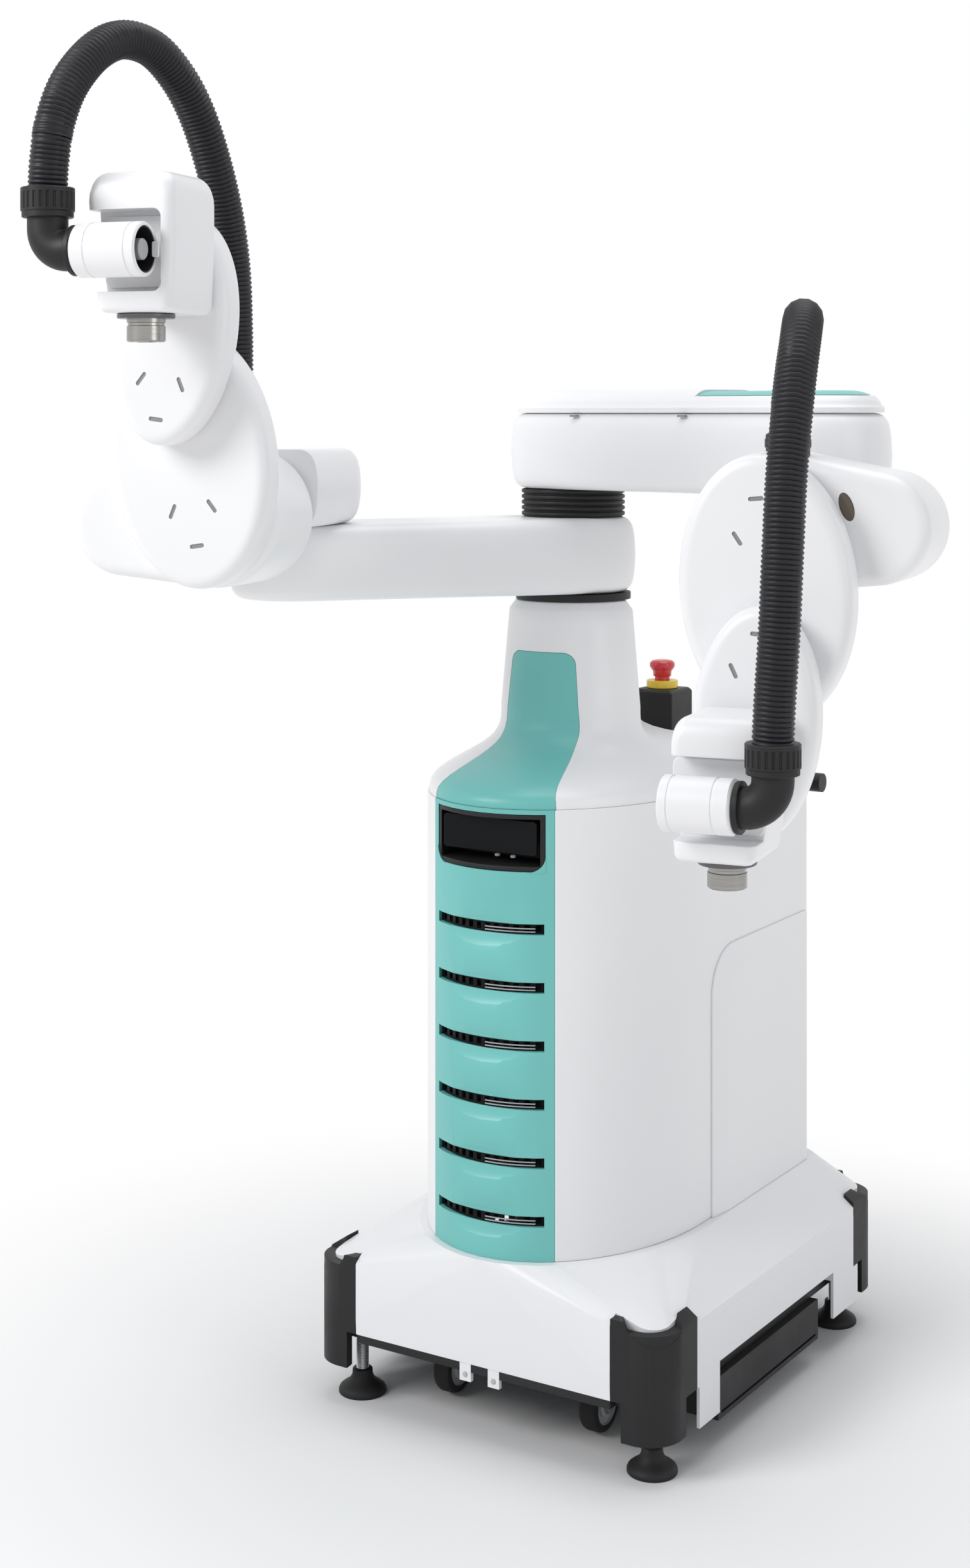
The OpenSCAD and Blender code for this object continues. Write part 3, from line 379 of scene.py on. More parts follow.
def block(bm, centre, size, turn=0.0):
    """A plain block, turned about its upright axis"""
    bmesh.ops.create_cube(bm, size=1, matrix=Matrix.Translation(centre)
                          @ Matrix.Rotation(math.radians(turn), 4, "Z") @ Matrix.Diagonal((*size, 1)))
    return bm


def rounded_box(x, y, r, inset=0.0, steps=8):
    """A rectangle with round corners, from its low and high x and y"""
    bend = max(r - inset, 0.5)
    corners = [(x[1] - r, y[1] - r, 0), (x[0] + r, y[1] - r, 90), (x[0] + r, y[0] + r, 180),
               (x[1] - r, y[0] + r, 270)]
    return [p for cx, cy, a in corners for p in arc((cx, cy), bend, a, a + 90, steps)]


def prism(points, low, high, lay=flat):
    return loft(bmesh.new(), [lay(points, low), lay(points, high)])


def rod(bm, start, end, r, segments=48):
    """A round bar from one point to another"""
    a, b = Vector(start), Vector(end)
    turn = (b - a).to_track_quat("Z", "Y").to_matrix().to_4x4()
    bmesh.ops.create_cone(bm, cap_ends=True, segments=segments, radius1=r, radius2=r, depth=(b - a).length,
                          matrix=Matrix.Translation((a + b) / 2) @ turn)
    return bm


def lathe(profile, place, steps=64):
    """A solid of revolution from pairs of radius and height, closed on the axis"""
    bm = bmesh.new()
    verts = [bm.verts.new((r, 0, z)) for r, z in profile]
    edges = [bm.edges.new(pair) for pair in zip(verts, verts[1:])]
    bmesh.ops.spin(bm, geom=verts + edges, cent=(0, 0, 0), axis=(0, 0, 1), angle=2 * math.pi,
                   steps=steps, use_merge=True)
    bm.transform(place)
    return bm


# Outlines
def cabinet_outline(inset, n=72):
    nose = [((CABINET_HALF - inset) * math.cos(math.pi + math.pi * i / n),
             NOSE_Y + (NOSE_LEN - inset) * math.sin(math.pi + math.pi * i / n)) for i in range(n + 1)]
    x, y = CABINET_HALF - REAR_R, CABINET_REAR - REAR_R
    return nose + arc((x, y), REAR_R - inset, 0, 90) + arc((-x, y), REAR_R - inset, 90, 180)


def two_circles(c1, r1, c2, r2, inset, n=96):
    found = []
    for i in range(n):
        d = Vector((math.cos(2 * math.pi * i / n), math.sin(2 * math.pi * i / n)))
        centre, r = (Vector(c2), r2) if (Vector(c2) - Vector(c1)).dot(d) + r2 - r1 > 0 else (Vector(c1), r1)
        found.append(tuple(centre + d * (r - inset)))
    return found


def ellipse(a, b, centre, inset, turn=0.0, pivot=(0, 0), n=96):
    """An ellipse, turned clockwise about a pivot, from which its centre is measured"""
    spin = Matrix.Rotation(-math.radians(turn), 2)
    found = []
    for i in range(n):
        t = 2 * math.pi * i / n
        p = Vector((centre[0] + (a - inset) * math.cos(t), centre[1] + (b - inset) * math.sin(t)))
        found.append(tuple(Vector(pivot) + spin @ p))
    return found


def capsule(centre, length, width, turn, steps=6):
    """A slot's outline"""
    half = (length - width) / 2
    shape = arc((half, 0), width / 2, -90, 90, steps) + arc((-half, 0), width / 2, 90, 270, steps)
    spin = Matrix.Rotation(math.radians(turn), 2)
    return [tuple(Vector(centre) + spin @ Vector(p)) for p in shape]


# Cart
def front_screws():
    """The screws in the two tabs"""
    bm = bmesh.new()
    for x in (-20, 20):
        rod(bm, (x, CART_FRONT + 1.2, 81), (x, CART_FRONT + 0.2, 81), 3.0, 24)
    piece("front_screws", bm, "cart", "zinc_steel", edge=0.4)


def cart():
    dressed("cart_cover", 2.2, 26)
    front_screws()
    for node in ("base_plate", "foot_nuts", "side_boxes", "front_tabs"):
        dressed(node, 0.8)
    for node, sign in (("front_guards", -1), ("rear_guards", 1)):
        corner_guards(node, sign)
    for corner in ("fl", "fr", "rl", "rr"):
        dressed("castor_fork_" + corner, 0.8)
        levelling_foot(corner)
        castor_wheel(corner)


def levelling_foot(corner):
    """Domed pad with a bright threaded stud"""
    low, high = box_of("foot_" + corner)
    centre, r = (low + high) / 2, (high.x - low.x) / 2
    place = Matrix.Translation((centre.x, centre.y, 0))
    pad = [(0, 0), (r - 1, 0), (r, 1.2), (r, 4.6), (r - 1.5, 7.6), (r - 5, 10.5), (20, 13.5), (15.5, 17.5),
           (13, 22.5), (12.6, 29), (11.6, 30.2), (0, 30.2)]
    piece("foot_pad_" + corner, lathe(pad, place), BODY_OF["foot_" + corner], "foot_rubber",
          "foot_" + corner, sharp=60)
    stud = [(0, 29.5), (7.9, 29.5)]
    pitch = 2.0
    for k in range(int((high.z - 32) / pitch)):
        stud += [(7.1, 30 + k * pitch), (7.95, 30.9 + k * pitch), (7.95, 31.1 + k * pitch)]
    stud += [(7.1, high.z - 0.8), (0, high.z - 0.2)]
    piece("foot_stud_" + corner, lathe(stud, place, 32), BODY_OF["foot_" + corner], "zinc_steel", sharp=60)


def corner_guards(node, sign):
    """Corner guards, whose tops dip a little between two horns"""
    made = dressed(node)
    made.modifiers.clear()
    x, y = GUARD_X, GUARD_FRONT_Y if sign < 0 else GUARD_REAR_Y
    leg = 12
    plan = arc((x, y), GUARD_R, 90, 0) + [(x + GUARD_R, y - leg), (x + GUARD_INNER_R, y - leg)]
    plan += arc((x, y), GUARD_INNER_R, 0, 90) + [(x - leg, y + GUARD_INNER_R), (x - leg, y + GUARD_R)]
    for side in (-1, 1):
        cut(made, prism([(side * px, sign * py) for px, py in plan], 120, 177), "UNION")
    round_edges(made, 1.8, 40)


def castor_wheel(corner):
    """Tyre and hub on one axle"""
    low, high = box_of("castor_wheel_" + corner)
    centre = (low + high) / 2
    r, half = (high.z - low.z) / 2, (high.x - low.x) / 2
    place = Matrix.Translation(centre) @ Matrix.Rotation(math.radians(90), 4, "Y")
    tyre = [(23.5, -half), (r - 5, -half), (r - 1.5, -half + 1.5), (r, -half + 5), (r, half - 5),
            (r - 1.5, half - 1.5), (r - 5, half), (23.5, half), (23.5, -half)]
    piece("castor_tyre_" + corner, lathe(tyre, place), "castor_roller_" + corner, "black_rubber",
          "castor_wheel_" + corner, edge=0.5)
    hub = [(5.1, -half), (13, -half), (14, -half + 1), (14, -half + 5), (22, -half + 4), (23.4, -half + 1),
           (23.4, half - 1), (22, half - 4), (14, half - 5), (14, half - 1), (13, half), (5.1, half),
           (5.1, -half)]
    piece("castor_hub_" + corner, lathe(hub, place), "castor_roller_" + corner, "zinc_steel", edge=0.4,
          finish_name="inner_steel")


# Cabinet
def side_panel(sign):
    """A raised panel whose front and top edges are wide slopes"""
    node = "side_panel_left" if sign < 0 else "side_panel_right"
    low, high = box_of(node)
    thick = high.x - low.x

    def outline(inset, height):
        front, top = low.y + inset, high.z - inset
        r = max(60 - inset * 0.6, 8)
        shape = [(high.y - inset * 0.3, low.z), (high.y - inset * 0.3, top)]
        shape += arc((front + r, top - r), r, 90, 180, 16) + [(front, low.z)]
        x = sign * (CABINET_HALF + GAP + height)
        return [(x, y, z) for y, z in shape]

    rings = [outline(0, 0), outline(0, 1.6), outline(1.5, 2.6), outline(30, thick - 0.8),
             outline(33, thick - 0.2), outline(37, thick)]
    piece(node + "_skin", loft(bmesh.new(), rings), "cart", "white_shell", node, sharp=7)


def cabinet():
    dressed("cabinet_shell", 0.8)
    front_panel()
    for node in ("rear_cover", "column", "controller"):
        dressed(node, 0.4)
    dressed("slot_grilles", 0.2, finish_name="screen")
    for node in ("push_handle", "display_bay"):
        dressed(node, 1.5)
    for sign in (-1, 1):
        side_panel(sign)
    display()


def nose_y(x):
    """How far forward the cabinet's front is at x"""
    return NOSE_Y - NOSE_LEN * math.sqrt(1 - (x / CABINET_HALF) ** 2)


def front_panel():
    """The coloured front, with a scoop under each slot and slats behind the slots' right half"""
    panel = dressed("front_panel")
    panel.modifiers.clear()
    scoops, slats = bmesh.new(), bmesh.new()
    for k in range(SLOTS):
        foot = SLOT_TOP - SLOT_STEP * k - SLOT_TALL
        scoop(scoops, foot + 2)
        spots = [(x, nose_y(x)) for x in range(4, 65, 6)]
        strip = [(x, y + 4.2) for x, y in spots] + [(x, y + 5.6) for x, y in reversed(spots)]
        for up in (2.4, 6.2):
            loft(slats, [flat(strip, foot + up), flat(strip, foot + up + 1.3)])
    cut(panel, scoops)
    round_edges(panel, 0.8, 40)
    piece("slot_slats", slats, "cart", "inner_steel", edge=0.2)
    for sign in (-1, 1):
        corner = [(sign * x, z) for x, z in [(76.6, 689)] + arc((58, 708), 18.6, -90, 0, 10)]
        fill = piece("bay_corner", prism(cabinet_outline(-0.3), 660, 740), "cart", "teal_panel")
        cut(fill, prism(corner, 190, 230, upright), "INTERSECT")


def scoop(bm, z, half=70, depth=13.0, steps=32):
    """A lens along the cabinet's front, which takes a shallow dip out of it"""
    rings = []
    for i in range(steps + 1):
        x = (half - 3) * (2 * i / steps - 1)
        r = depth * math.sqrt(1 - (x / half) ** 2)
        rings.append([(x, nose_y(x) - 8.2 + r * math.cos(t), z + 1.9 * r * math.sin(t))
                      for t in (2 * math.pi * j / 40 for j in range(40))])
    loft(bm, rings)


def display():
    """The dark screen in the bay, and the keys on its lower lip"""
    low, high = box_of("display_bay")
    glass = rounded_box((low.x + 10, high.x - 10), (low.z + 18, high.z - 9), 5)
    piece("bay_screen", prism(glass, -low.y - 24, -low.y - 20, upright), "cart", "black_plastic",
          finish_name="screen", edge=0.8)
    bm = bmesh.new()
    for x in (12, 34):
        rod(bm, (x, low.y + 19, low.z + 14), (x, low.y + 19, low.z + 17), 3.2, 24)
    piece("bay_keys", bm, "cart", "black_plastic", finish_name="grey_parts_and_slot_shade", edge=0.6)


# Neck
def neck_ring(z, inset, n=72):
    """A round shaft above FLARE, which swells into the cabinet's outline below it"""
    span = NECK_TOP - NECK_BEVEL - FLARE
    if z >= NECK_TOP - NECK_BEVEL:
        r = NECK_TOP_R + (NECK_TOP - z) * 0.75
    elif z >= FLARE:
        r = NECK_TOP_R + 9 + (NECK_FOOT_R - NECK_TOP_R - 9) * (NECK_TOP - NECK_BEVEL - z) / span
    else:
        r = NECK_FOOT_R
    drop = max(FLARE - z, 0) / (FLARE - CABINET_TOP)
    share = 1 - (1 - drop ** 3.6) ** 4
    found = []
    for p in cabinet_outline(2 + inset, n):
        near = Vector(p).normalized() * (r - inset)
        found.append((p[0] * share + near.x * (1 - share), p[1] * share + near.y * (1 - share), z))
    return found


def neck_levels():
    """Heights of the neck's rings, closer where it bends"""
    low = [CABINET_TOP + (FLARE - CABINET_TOP) * i / 16 for i in range(16)]
    mid = [FLARE + (NECK_TOP - NECK_BEVEL - FLARE) * i / 8 for i in range(9)]
    return low + mid + [NECK_TOP - 8, NECK_TOP - 4, NECK_TOP - 1.5, NECK_TOP]


def neck_form(inset=0.0):
    return loft(bmesh.new(), [neck_ring(z, inset + (1.2 if z == NECK_TOP else 0)) for z in neck_levels()])


def inlay_outline(grow):
    """Front view of the coloured inlay: a tongue that spreads into a foot"""
    foot, waist, top, bend = 85 + grow, 54 + grow, 938 + grow, 834
    right = [(foot, CABINET_TOP - 2)]
    for k in range(13):
        share = 1 - k / 12
        right.append((waist + (foot - waist) * share ** 2 * (3 - 2 * share),
                      bend - (bend - CABINET_TOP - 3) * share))
    right += arc((46 + grow - 16, top - 16), 16, 0, 90, 8)
    return right + [(-x, z) for x, z in reversed(right)]


def neck():
    cowl = piece("neck_cowl_skin", neck_form(), "cart", "white_shell", "neck_cowl")
    cut(cowl, prism(inlay_outline(0.5), 40, 300, upright))
    stop_low, stop_high = box_of("stop_box")
    pocket = rounded_box((stop_low.x - GAP, stop_high.x + GAP), (stop_low.y - GAP, stop_high.y + GAP), 1)
    cut(cowl, prism(pocket, stop_low.z - GAP, 900))
    round_edges(cowl, 0.8, 40)
    inlay = piece("neck_inlay_skin", neck_form(0.2), "cart", "teal_panel", "neck_inlay")
    cut(inlay, prism(inlay_outline(0), 44, 300, upright), "INTERSECT")
    round_edges(inlay, 1.0, 40)
    # A black solid under the inlay, seen only through the thin groove round it: painted shade in the groove
    groove_shade = piece("neck_groove_shade", neck_form(4.0), "cart", "black_plastic")
    cut(groove_shade, prism(inlay_outline(3), 41, 300, upright), "INTERSECT")


# Stop button
def stop_button():
    dressed("stop_box", 2.5)
    dressed("stop_collar", 0.8)
    low, high = box_of("stop_button")
    centre, r = (low + high) / 2, (high.x - low.x) / 2
    top = high.z - 0.3
    profile = [(0, low.z), (10, low.z), (10, top - 22.4), (12, top - 21.4), (12.5, top - 15),
               (r - 1.5, top - 11), (r, top - 8), (r - 0.4, top - 4), (r - 3, top - 1.2), (r - 8, top),
               (0, top)]
    place = Matrix.Translation((centre.x, centre.y, 0))
    piece("stop_button_skin", lathe(profile, place), BODY_OF["stop_button"], "red_plastic", "stop_button",
          sharp=60)


# Arms. A profile pairs an inset with a depth, in hundredths of the link's height
LINK_PROFILE = [(30, 0), (20, 0), (14.5, 1), (11, 2.8), (8, 5.6), (5.6, 9), (3.8, 13), (2.4, 19),
                (1.0, 30), (0, 50)]
FORE_PROFILE = [(36, 0), (24, 0), (18.5, 0.8), (13.2, 3.2), (9, 7), (5.8, 12), (3.4, 18), (1.6, 27),
                (0.4, 38), (0, 50)]


def link_rings(c1, c2, r, low, high, rise=0.0, profile=LINK_PROFILE):
    """Rings from underside to top of a link between two round ends"""
    half = (high - low) / 2
    steps = [(i, low + d * half / 50) for i, d in profile]
    steps += [(i, high - d * half / 50) for i, d in reversed(profile[:-1])]
    rings = []
    for inset, z in steps:
        lift = rise * (high - z) / (high - low)
        along = Vector(c2) - Vector(c1)
        rings.append([(x, y, z + lift * max(0, min(1, (Vector((x, y)) - Vector(c1)).dot(along)
                                                   / along.length_squared)))
                      for x, y in two_circles(c1, r, c2, r, inset)])
    return rings


def links():
    for side, arm in ARMS.items():
        end = elbow_of(arm)
        z = arm["link_z"]
        rings = link_rings((0, 0), (end.x, end.y), LINK_HALF, z, z + LINK_H, 7 if side == "left" else 0)
        made = piece(side + "_link_skin", loft(bmesh.new(), rings), BODY_OF[side + "_link"], "white_shell",
                     side + "_link", sharp=50)
        bore = 40.1 if side == "left" else 30.1
        top = z + (LINK_H + 5 if side == "left" else 60)
        cut(made, rod(bmesh.new(), (0, 0, z - 5), (0, 0, top), bore, 64))
    cover()


def cover():
    """The domed cover on the upper arm, with the coloured cap let into its outer part"""
    low, high = box_of("right_link_cover")
    turn = ARMS["right"]["link_turn"]
    end, ahead = elbow_of(ARMS["right"]), heading(turn)
    z, rise, seam, seat = low.z, high.z - low.z, 250, 19.5
    steps = 12

    def dome(inset, height):
        rings = [link_ring(end, inset, z), link_ring(end, inset, z + 6)]
        for k in range(1, steps + 1):
            t = k / steps * math.pi / 2
            rings.append(link_ring(end, inset + 3 + 34 * (1 - math.cos(t)) ** 0.9,
                                   z + 6 + (height - 6) * math.sin(t)))
        return loft(bmesh.new(), rings)

    def outer_part(start, bottom, stop=600):
        middle = ahead * (start + stop) / 2
        return block(bmesh.new(), (middle.x, middle.y, bottom + 50), (300, stop - start, 100), turn)

    white = piece("right_link_cover_skin", dome(8.5, rise - 0.2), BODY_OF["right_link_cover"], "white_shell",
                  "right_link_cover", sharp=50)
    cut(white, outer_part(seam, z + seat))
    round_edges(white, 0.8, 40)
    teal = piece("right_link_cap_skin", dome(9.3, rise - 2.5), BODY_OF["right_link_cap"], "teal_panel",
                 "right_link_cap", sharp=50)
    cut(teal, outer_part(seam + 0.6, z + seat + 0.5), "INTERSECT")
    round_edges(teal, 0.8, 40)
    clips = bmesh.new()
    for share in (0.18, 0.62):
        side = ahead.cross(Vector((0, 0, 1)))
        spot = end * share + side * (LINK_HALF - 4.5)
        block(clips, (spot.x, spot.y, z - 4), (6, 11, 2.6), turn)
    piece("right_link_clips", clips, BODY_OF["right_link"], "black_plastic", finish_name="grey_parts_and_slot_shade", edge=0.5)


def link_ring(end, inset, z):
    return flat(two_circles((0, 0), LINK_HALF, (end.x, end.y), LINK_HALF, inset), z)


def forearm(side, arm):
    low = arm["fore_z"]
    rings = link_rings((0, 0), (0, -FORE_CUT - 80), LINK_HALF - 1.5, low, low + FORE_H, profile=FORE_PROFILE)
    made = piece(side + "_forearm_skin", loft(bmesh.new(), rings), BODY_OF[side + "_forearm"], "white_shell",
                 side + "_forearm", place=fore_frame(arm), sharp=50)
    ahead = block(bmesh.new(), (0, -FORE_CUT - 150, low + FORE_H / 2), (300, 300, 200))
    cut(made, ahead, place=fore_frame(arm))
    round_edges(made, 0.8, 50)


def housing(side, arm):
    def outline(inset):
        return two_circles((0, LIFT_Z), 76, (112, LIFT_Z - 5), 60, inset)

    made = piece(side + "_lift_housing_skin", slab(outline, FORE_CUT + GAP, HOUSE_FRONT, 14, upright),
                 BODY_OF[side + "_lift_housing"], "white_shell", side + "_lift_housing",
                 place=fore_frame(arm), sharp=50)
    x = arm["socket_x"]
    bore = rod(bmesh.new(), (x, -SOCKET_S, 1180), (x, -SOCKET_S, 1240), 24.1)
    cut(made, bore, place=fore_frame(arm))
    pin = rod(bmesh.new(), (0, -HOUSE_FRONT + 1, LIFT_Z), (0, -HOUSE_FRONT - 26, LIFT_Z), 30)
    piece(side + "_lift_pin", pin, BODY_OF[side + "_lift_housing"], "zinc_steel", place=fore_frame(arm))
    if side == "right":
        lift_window(made, arm)


def lift_window(made, arm):
    """A dark oval window let into the right arm's housing"""
    def oval(inset):
        return ellipse(7.6, 15.6, (0, 0), inset, -18, (84, LIFT_Z + 18), 32)

    cut(made, prism(oval(0), HOUSE_FRONT - 3, HOUSE_FRONT + 1, upright), place=fore_frame(arm))
    piece("lift_window", prism(oval(0.6), HOUSE_FRONT - 2.0, HOUSE_FRONT - 0.2, upright),
          BODY_OF["right_lift_housing"], "black_plastic", finish_name="window", place=fore_frame(arm),
          edge=0.5)


def bar(side, arm, first):
    """An oval lifting bar, with three short slots round the pivot that drives it"""
    half, over, s = (94, 74, BAR1_S) if first else (67, 55, BAR2_S)
    turn = arm["lift"] if first else -arm["lift"]
    pivot = Vector((0, LIFT_Z)) if first else middle_pivot(arm)
    node = side + ("_lift_bar" if first else "_swing_bar")

    def outline(inset):
        return ellipse(half, BAR_LEN / 2 + over, (0, BAR_LEN / 2), inset, turn, pivot)

    made = piece(node + "_skin", slab(outline, s, s + BAR_T, 13, upright), BODY_OF[node], "white_shell", node,
                 place=fore_frame(arm), sharp=50)
    # A dark grey insert at the foot of each slot: partly the slot's own grey tint, partly painted shade of
    # its recess
    slot_tint_and_shade = bmesh.new()
    for k in range(3):
        angle = -90 + 120 * k - turn
        spot = pivot + 27 * Vector((math.cos(math.radians(angle)), math.sin(math.radians(angle))))
        shape = capsule(spot, 17, 4.6, angle + 90)
        cut(made, prism(shape, s + BAR_T - 2.2, s + BAR_T + 2, upright), place=fore_frame(arm))
        inner = capsule(spot, 16.4, 4.0, angle + 90)
        loft(slot_tint_and_shade, [upright(inner, s + BAR_T - 2.1), upright(inner, s + BAR_T - 1.3)])
    piece(node + "_marks", slot_tint_and_shade, BODY_OF[node], "white_shell", finish_name="grey_parts_and_slot_shade", place=fore_frame(arm))
    end = middle_pivot(arm) if first else Vector((0, hand_z(arm)))
    pin = rod(bmesh.new(), (end.x, -s - BAR_T + 1, end.y), (end.x, -s - BAR_T - 26, end.y), 24)
    piece(node + "_pin", pin, BODY_OF[node], "zinc_steel", place=fore_frame(arm))


def wrist(side, arm):
    """The block that the bars carry, with a recess for the duct across its front"""
    z = hand_z(arm)
    x, y = (-WRIST_HALF, WRIST_HALF), (-WRIST_FRONT, -WRIST_S)

    def ring(inset, height, trim=(0, 0), r=11):
        return flat(rounded_box((x[0] + trim[0], x[1] - trim[1]), y, r, inset), z + height)

    rings = [ring(10, -WRIST_DOWN, (4, 12)), ring(7, -WRIST_DOWN, (4, 12)),
             ring(3.6, -WRIST_DOWN + 1, (4, 12)), ring(1.2, -WRIST_DOWN + 3.4, (3.6, 11.6)),
             ring(0, -WRIST_DOWN + 7, (3, 11)), ring(0, -20, (1.6, 7)), ring(0, 10, (0, 3)),
             ring(0, WRIST_UP - 30), ring(0.6, WRIST_UP - 22)]
    for k in range(1, 9):
        t = k / 8 * math.pi / 2
        rings.append(ring(0.6 + 17 * (1 - math.cos(t)), WRIST_UP - 22 + 22 * math.sin(t), r=13 + k))
    made = piece(side + "_wrist_skin", loft(bmesh.new(), rings), BODY_OF[side + "_wrist"], "white_shell",
                 side + "_wrist", place=fore_frame(arm), sharp=50)
    groove = rounded_box((arm["groove"], 90), (z + DUCT_UP - 41, z + DUCT_UP + 43), 9)
    cut(made, prism(groove, WRIST_FRONT - RECESS, WRIST_FRONT + 20, upright), place=fore_frame(arm))
    bore = rod(bmesh.new(), (0, -LINK_LEN, z - WRIST_DOWN - 2), (0, -LINK_LEN, z - WRIST_DOWN + 17), 22.2)
    cut(made, bore, place=fore_frame(arm))
    round_edges(made, 1.6, 45)
    frame_half = (arm["groove"] + 6, WRIST_HALF - 8)
    lip = prism(rounded_box(frame_half, (z + DUCT_UP - 36, z + DUCT_UP + 38), 8),
                WRIST_FRONT - RECESS, WRIST_FRONT - RECESS + 3, upright)
    piece(side + "_wrist_backplate", lip, BODY_OF[side + "_wrist"], "white_shell", place=fore_frame(arm),
          edge=1.2)
    if side == "left":
        tab = prism(rounded_box((-35, -27), (z + 1, z + 17), 2), WRIST_FRONT - 1, WRIST_FRONT + 2.2, upright)
        piece("left_wrist_latch", tab, BODY_OF["left_wrist"], "white_shell", place=fore_frame(arm), edge=1.0)


def duct(side, arm):
    """The cable duct across the wrist, its bands and its open end"""
    z, end = hand_z(arm) + DUCT_UP, arm["duct_end"]
    start = end - DUCT_LEN
    place = fore_frame(arm) @ Matrix.Translation((0, -DUCT_S, z)) @ Matrix.Rotation(math.radians(90), 4, "Y")
    wall = DUCT_R - 4
    profile = [(wall, start), (DUCT_R - 1.2, start), (DUCT_R, start + 1.2), (DUCT_R, start + 9),
               (DUCT_R - 0.9, start + 9.6), (DUCT_R - 0.9, start + 11.4), (DUCT_R, start + 12),
               (DUCT_R, end - 20), (DUCT_R - 0.9, end - 19.4), (DUCT_R - 0.9, end - 17.6), (DUCT_R, end - 17),
               (DUCT_R, end - 3), (DUCT_R - 2.5, end - 0.6), (DUCT_R - 4, end), (HOSE_R + 0.2, end),
               (HOSE_R + 0.2, end - 15), (0, end - 15)]
    profile += [(0, start + 34), (wall, start + 34), (wall, start)]
    made = lathe(profile, place, 72)
    body = BODY_OF[side + "_duct"]
    piece(side + "_duct_skin", made, body, "white_shell", side + "_duct", sharp=40)
    depth = DUCT_S - WRIST_FRONT + RECESS - 1
    foot = block(bmesh.new(), (6, -DUCT_S + depth / 2 + 10, z), (28, depth - 20, 38))
    piece(side + "_duct_block", foot, body, "white_shell", place=fore_frame(arm), edge=3)
    # A black lining inside the duct's open end: painted shade in its hollow
    mouth_shade = [(0, start + 26), (wall - 1.6, start + 26), (wall - 1.6, start + 0.8), (wall - 0.3, start + 0.8),
            (wall - 0.3, start + 33), (0, start + 33)]
    piece(side + "_duct_plug", lathe(mouth_shade, place), body, "black_plastic", edge=0.5)
    core = [(0, start + 2), (10, start + 2), (11, start + 3), (11, start + 27), (0, start + 27)]
    piece(side + "_duct_connector", lathe(core, place), body, "inner_steel", sharp=40)


def elbow_fitting(side, arm):
    """The black elbow that turns the hose up, with its ribbed nut"""
    z, end, x = hand_z(arm) + DUCT_UP, arm["duct_end"], arm["elbow_x"]
    bend = arm["elbow_bend"]
    nut_low, nut_top, nut_r = z + FITTING_H - 31, z + FITTING_H, HOSE_R + 6.5
    path = [(end - 12, z), (end + 4, z), (x - bend, z)]
    path += arc((x - bend, z + bend), bend, -90, 0, 12)[1:] + [(x, nut_low + 4)]
    frames = []
    for i, (px, pz) in enumerate(path):
        a, b = path[max(i - 1, 0)], path[min(i + 1, len(path) - 1)]
        way = Vector((b[0] - a[0], 0, b[1] - a[1])).normalized()
        across = Vector((way.z, 0, -way.x))
        frames.append([Vector((px, 0, pz)) + HOSE_R * 0.995 * (math.cos(2 * math.pi * k / 48) * across
                                                        + math.sin(2 * math.pi * k / 48) * Vector((0, 1, 0)))
                       for k in range(48)])
    place = fore_frame(arm) @ Matrix.Translation((0, -DUCT_S, 0))
    body = BODY_OF[side + "_hose_elbow"]
    piece(side + "_hose_elbow_skin", loft(bmesh.new(), frames), body, "black_plastic", side + "_hose_elbow",
          place=place, sharp=50)
    ring_place = place @ Matrix.Translation((0, 0, z)) @ Matrix.Rotation(math.radians(90), 4, "Y")
    band = [(HOSE_R - 1, end + 0.3), (HOSE_R + 4.4, end + 0.3), (HOSE_R + 5, end + 1),
            (HOSE_R + 5, end + 5.3), (HOSE_R + 4.4, end + 6), (HOSE_R - 1, end + 6), (HOSE_R - 1, end + 0.3)]
    piece(side + "_elbow_band", lathe(band, ring_place), body, "black_plastic")
    tall = nut_top - 0.2 - nut_low

    def fluted(r, z, flute=0.0):
        return [(r * math.cos(t), r * math.sin(t), z) for r, t in
                ((r - (flute if k % 6 < 2 else 0), 2 * math.pi * k / 144) for k in range(144))]

    plan = [(nut_r - 2.2, 0, 0), (nut_r - 1.2, 0.8, 0), (nut_r - 1.2, 6, 0), (nut_r, 7, 0), (nut_r, 9, 0),
            (nut_r, 9.4, 1.3), (nut_r, tall - 5.4, 1.3), (nut_r, tall - 5, 0), (nut_r, tall - 1, 0),
            (nut_r - 1, tall, 0), (HOSE_R - 2, tall, 0)]
    rings = [fluted(r, nut_low + up, flute) for r, up, flute in plan]
    piece(side + "_hose_nut", loft(bmesh.new(), rings), body, "black_plastic",
          place=place @ Matrix.Translation((x, 0, 0)), sharp=30)


ROUTES = {
    "left": [(81, 452, None), (79, 452, 1495), (75, 448, 1533), (68, 430, 1575), (57, 395, 1612),
             (46, 355, 1630), (31, 315, 1625), (18, 280, 1598), (7, 255, 1560), (-3, 235, 1507),
             (-9, 218, 1452), (-12, 207, 1396), (-12, 201, 1335), (-11, 198, 1275), (-10, 198, SOCKET_TOP)],
    "right": [(63, 452, None), (65, 452, 960), (69, 450, 1030), (71, 445, 1105), (72, 434, 1181),
              (73, 410, 1257), (70, 372, 1313), (59, 320, 1333), (44, 272, 1320), (28, 234, 1285),
              (16, 208, 1245), (11, 198, SOCKET_TOP)],
}
ROUTE_STEP, RIB_PITCH, RIB_DEPTH = 1.25, 5.0, 1.7
# How far the wrist travels, the share of its height that the hose's loop keeps, and the sleeves' number
STROKE, LOOP_KEPT, SLEEVES = 548.4, 0.6, 7


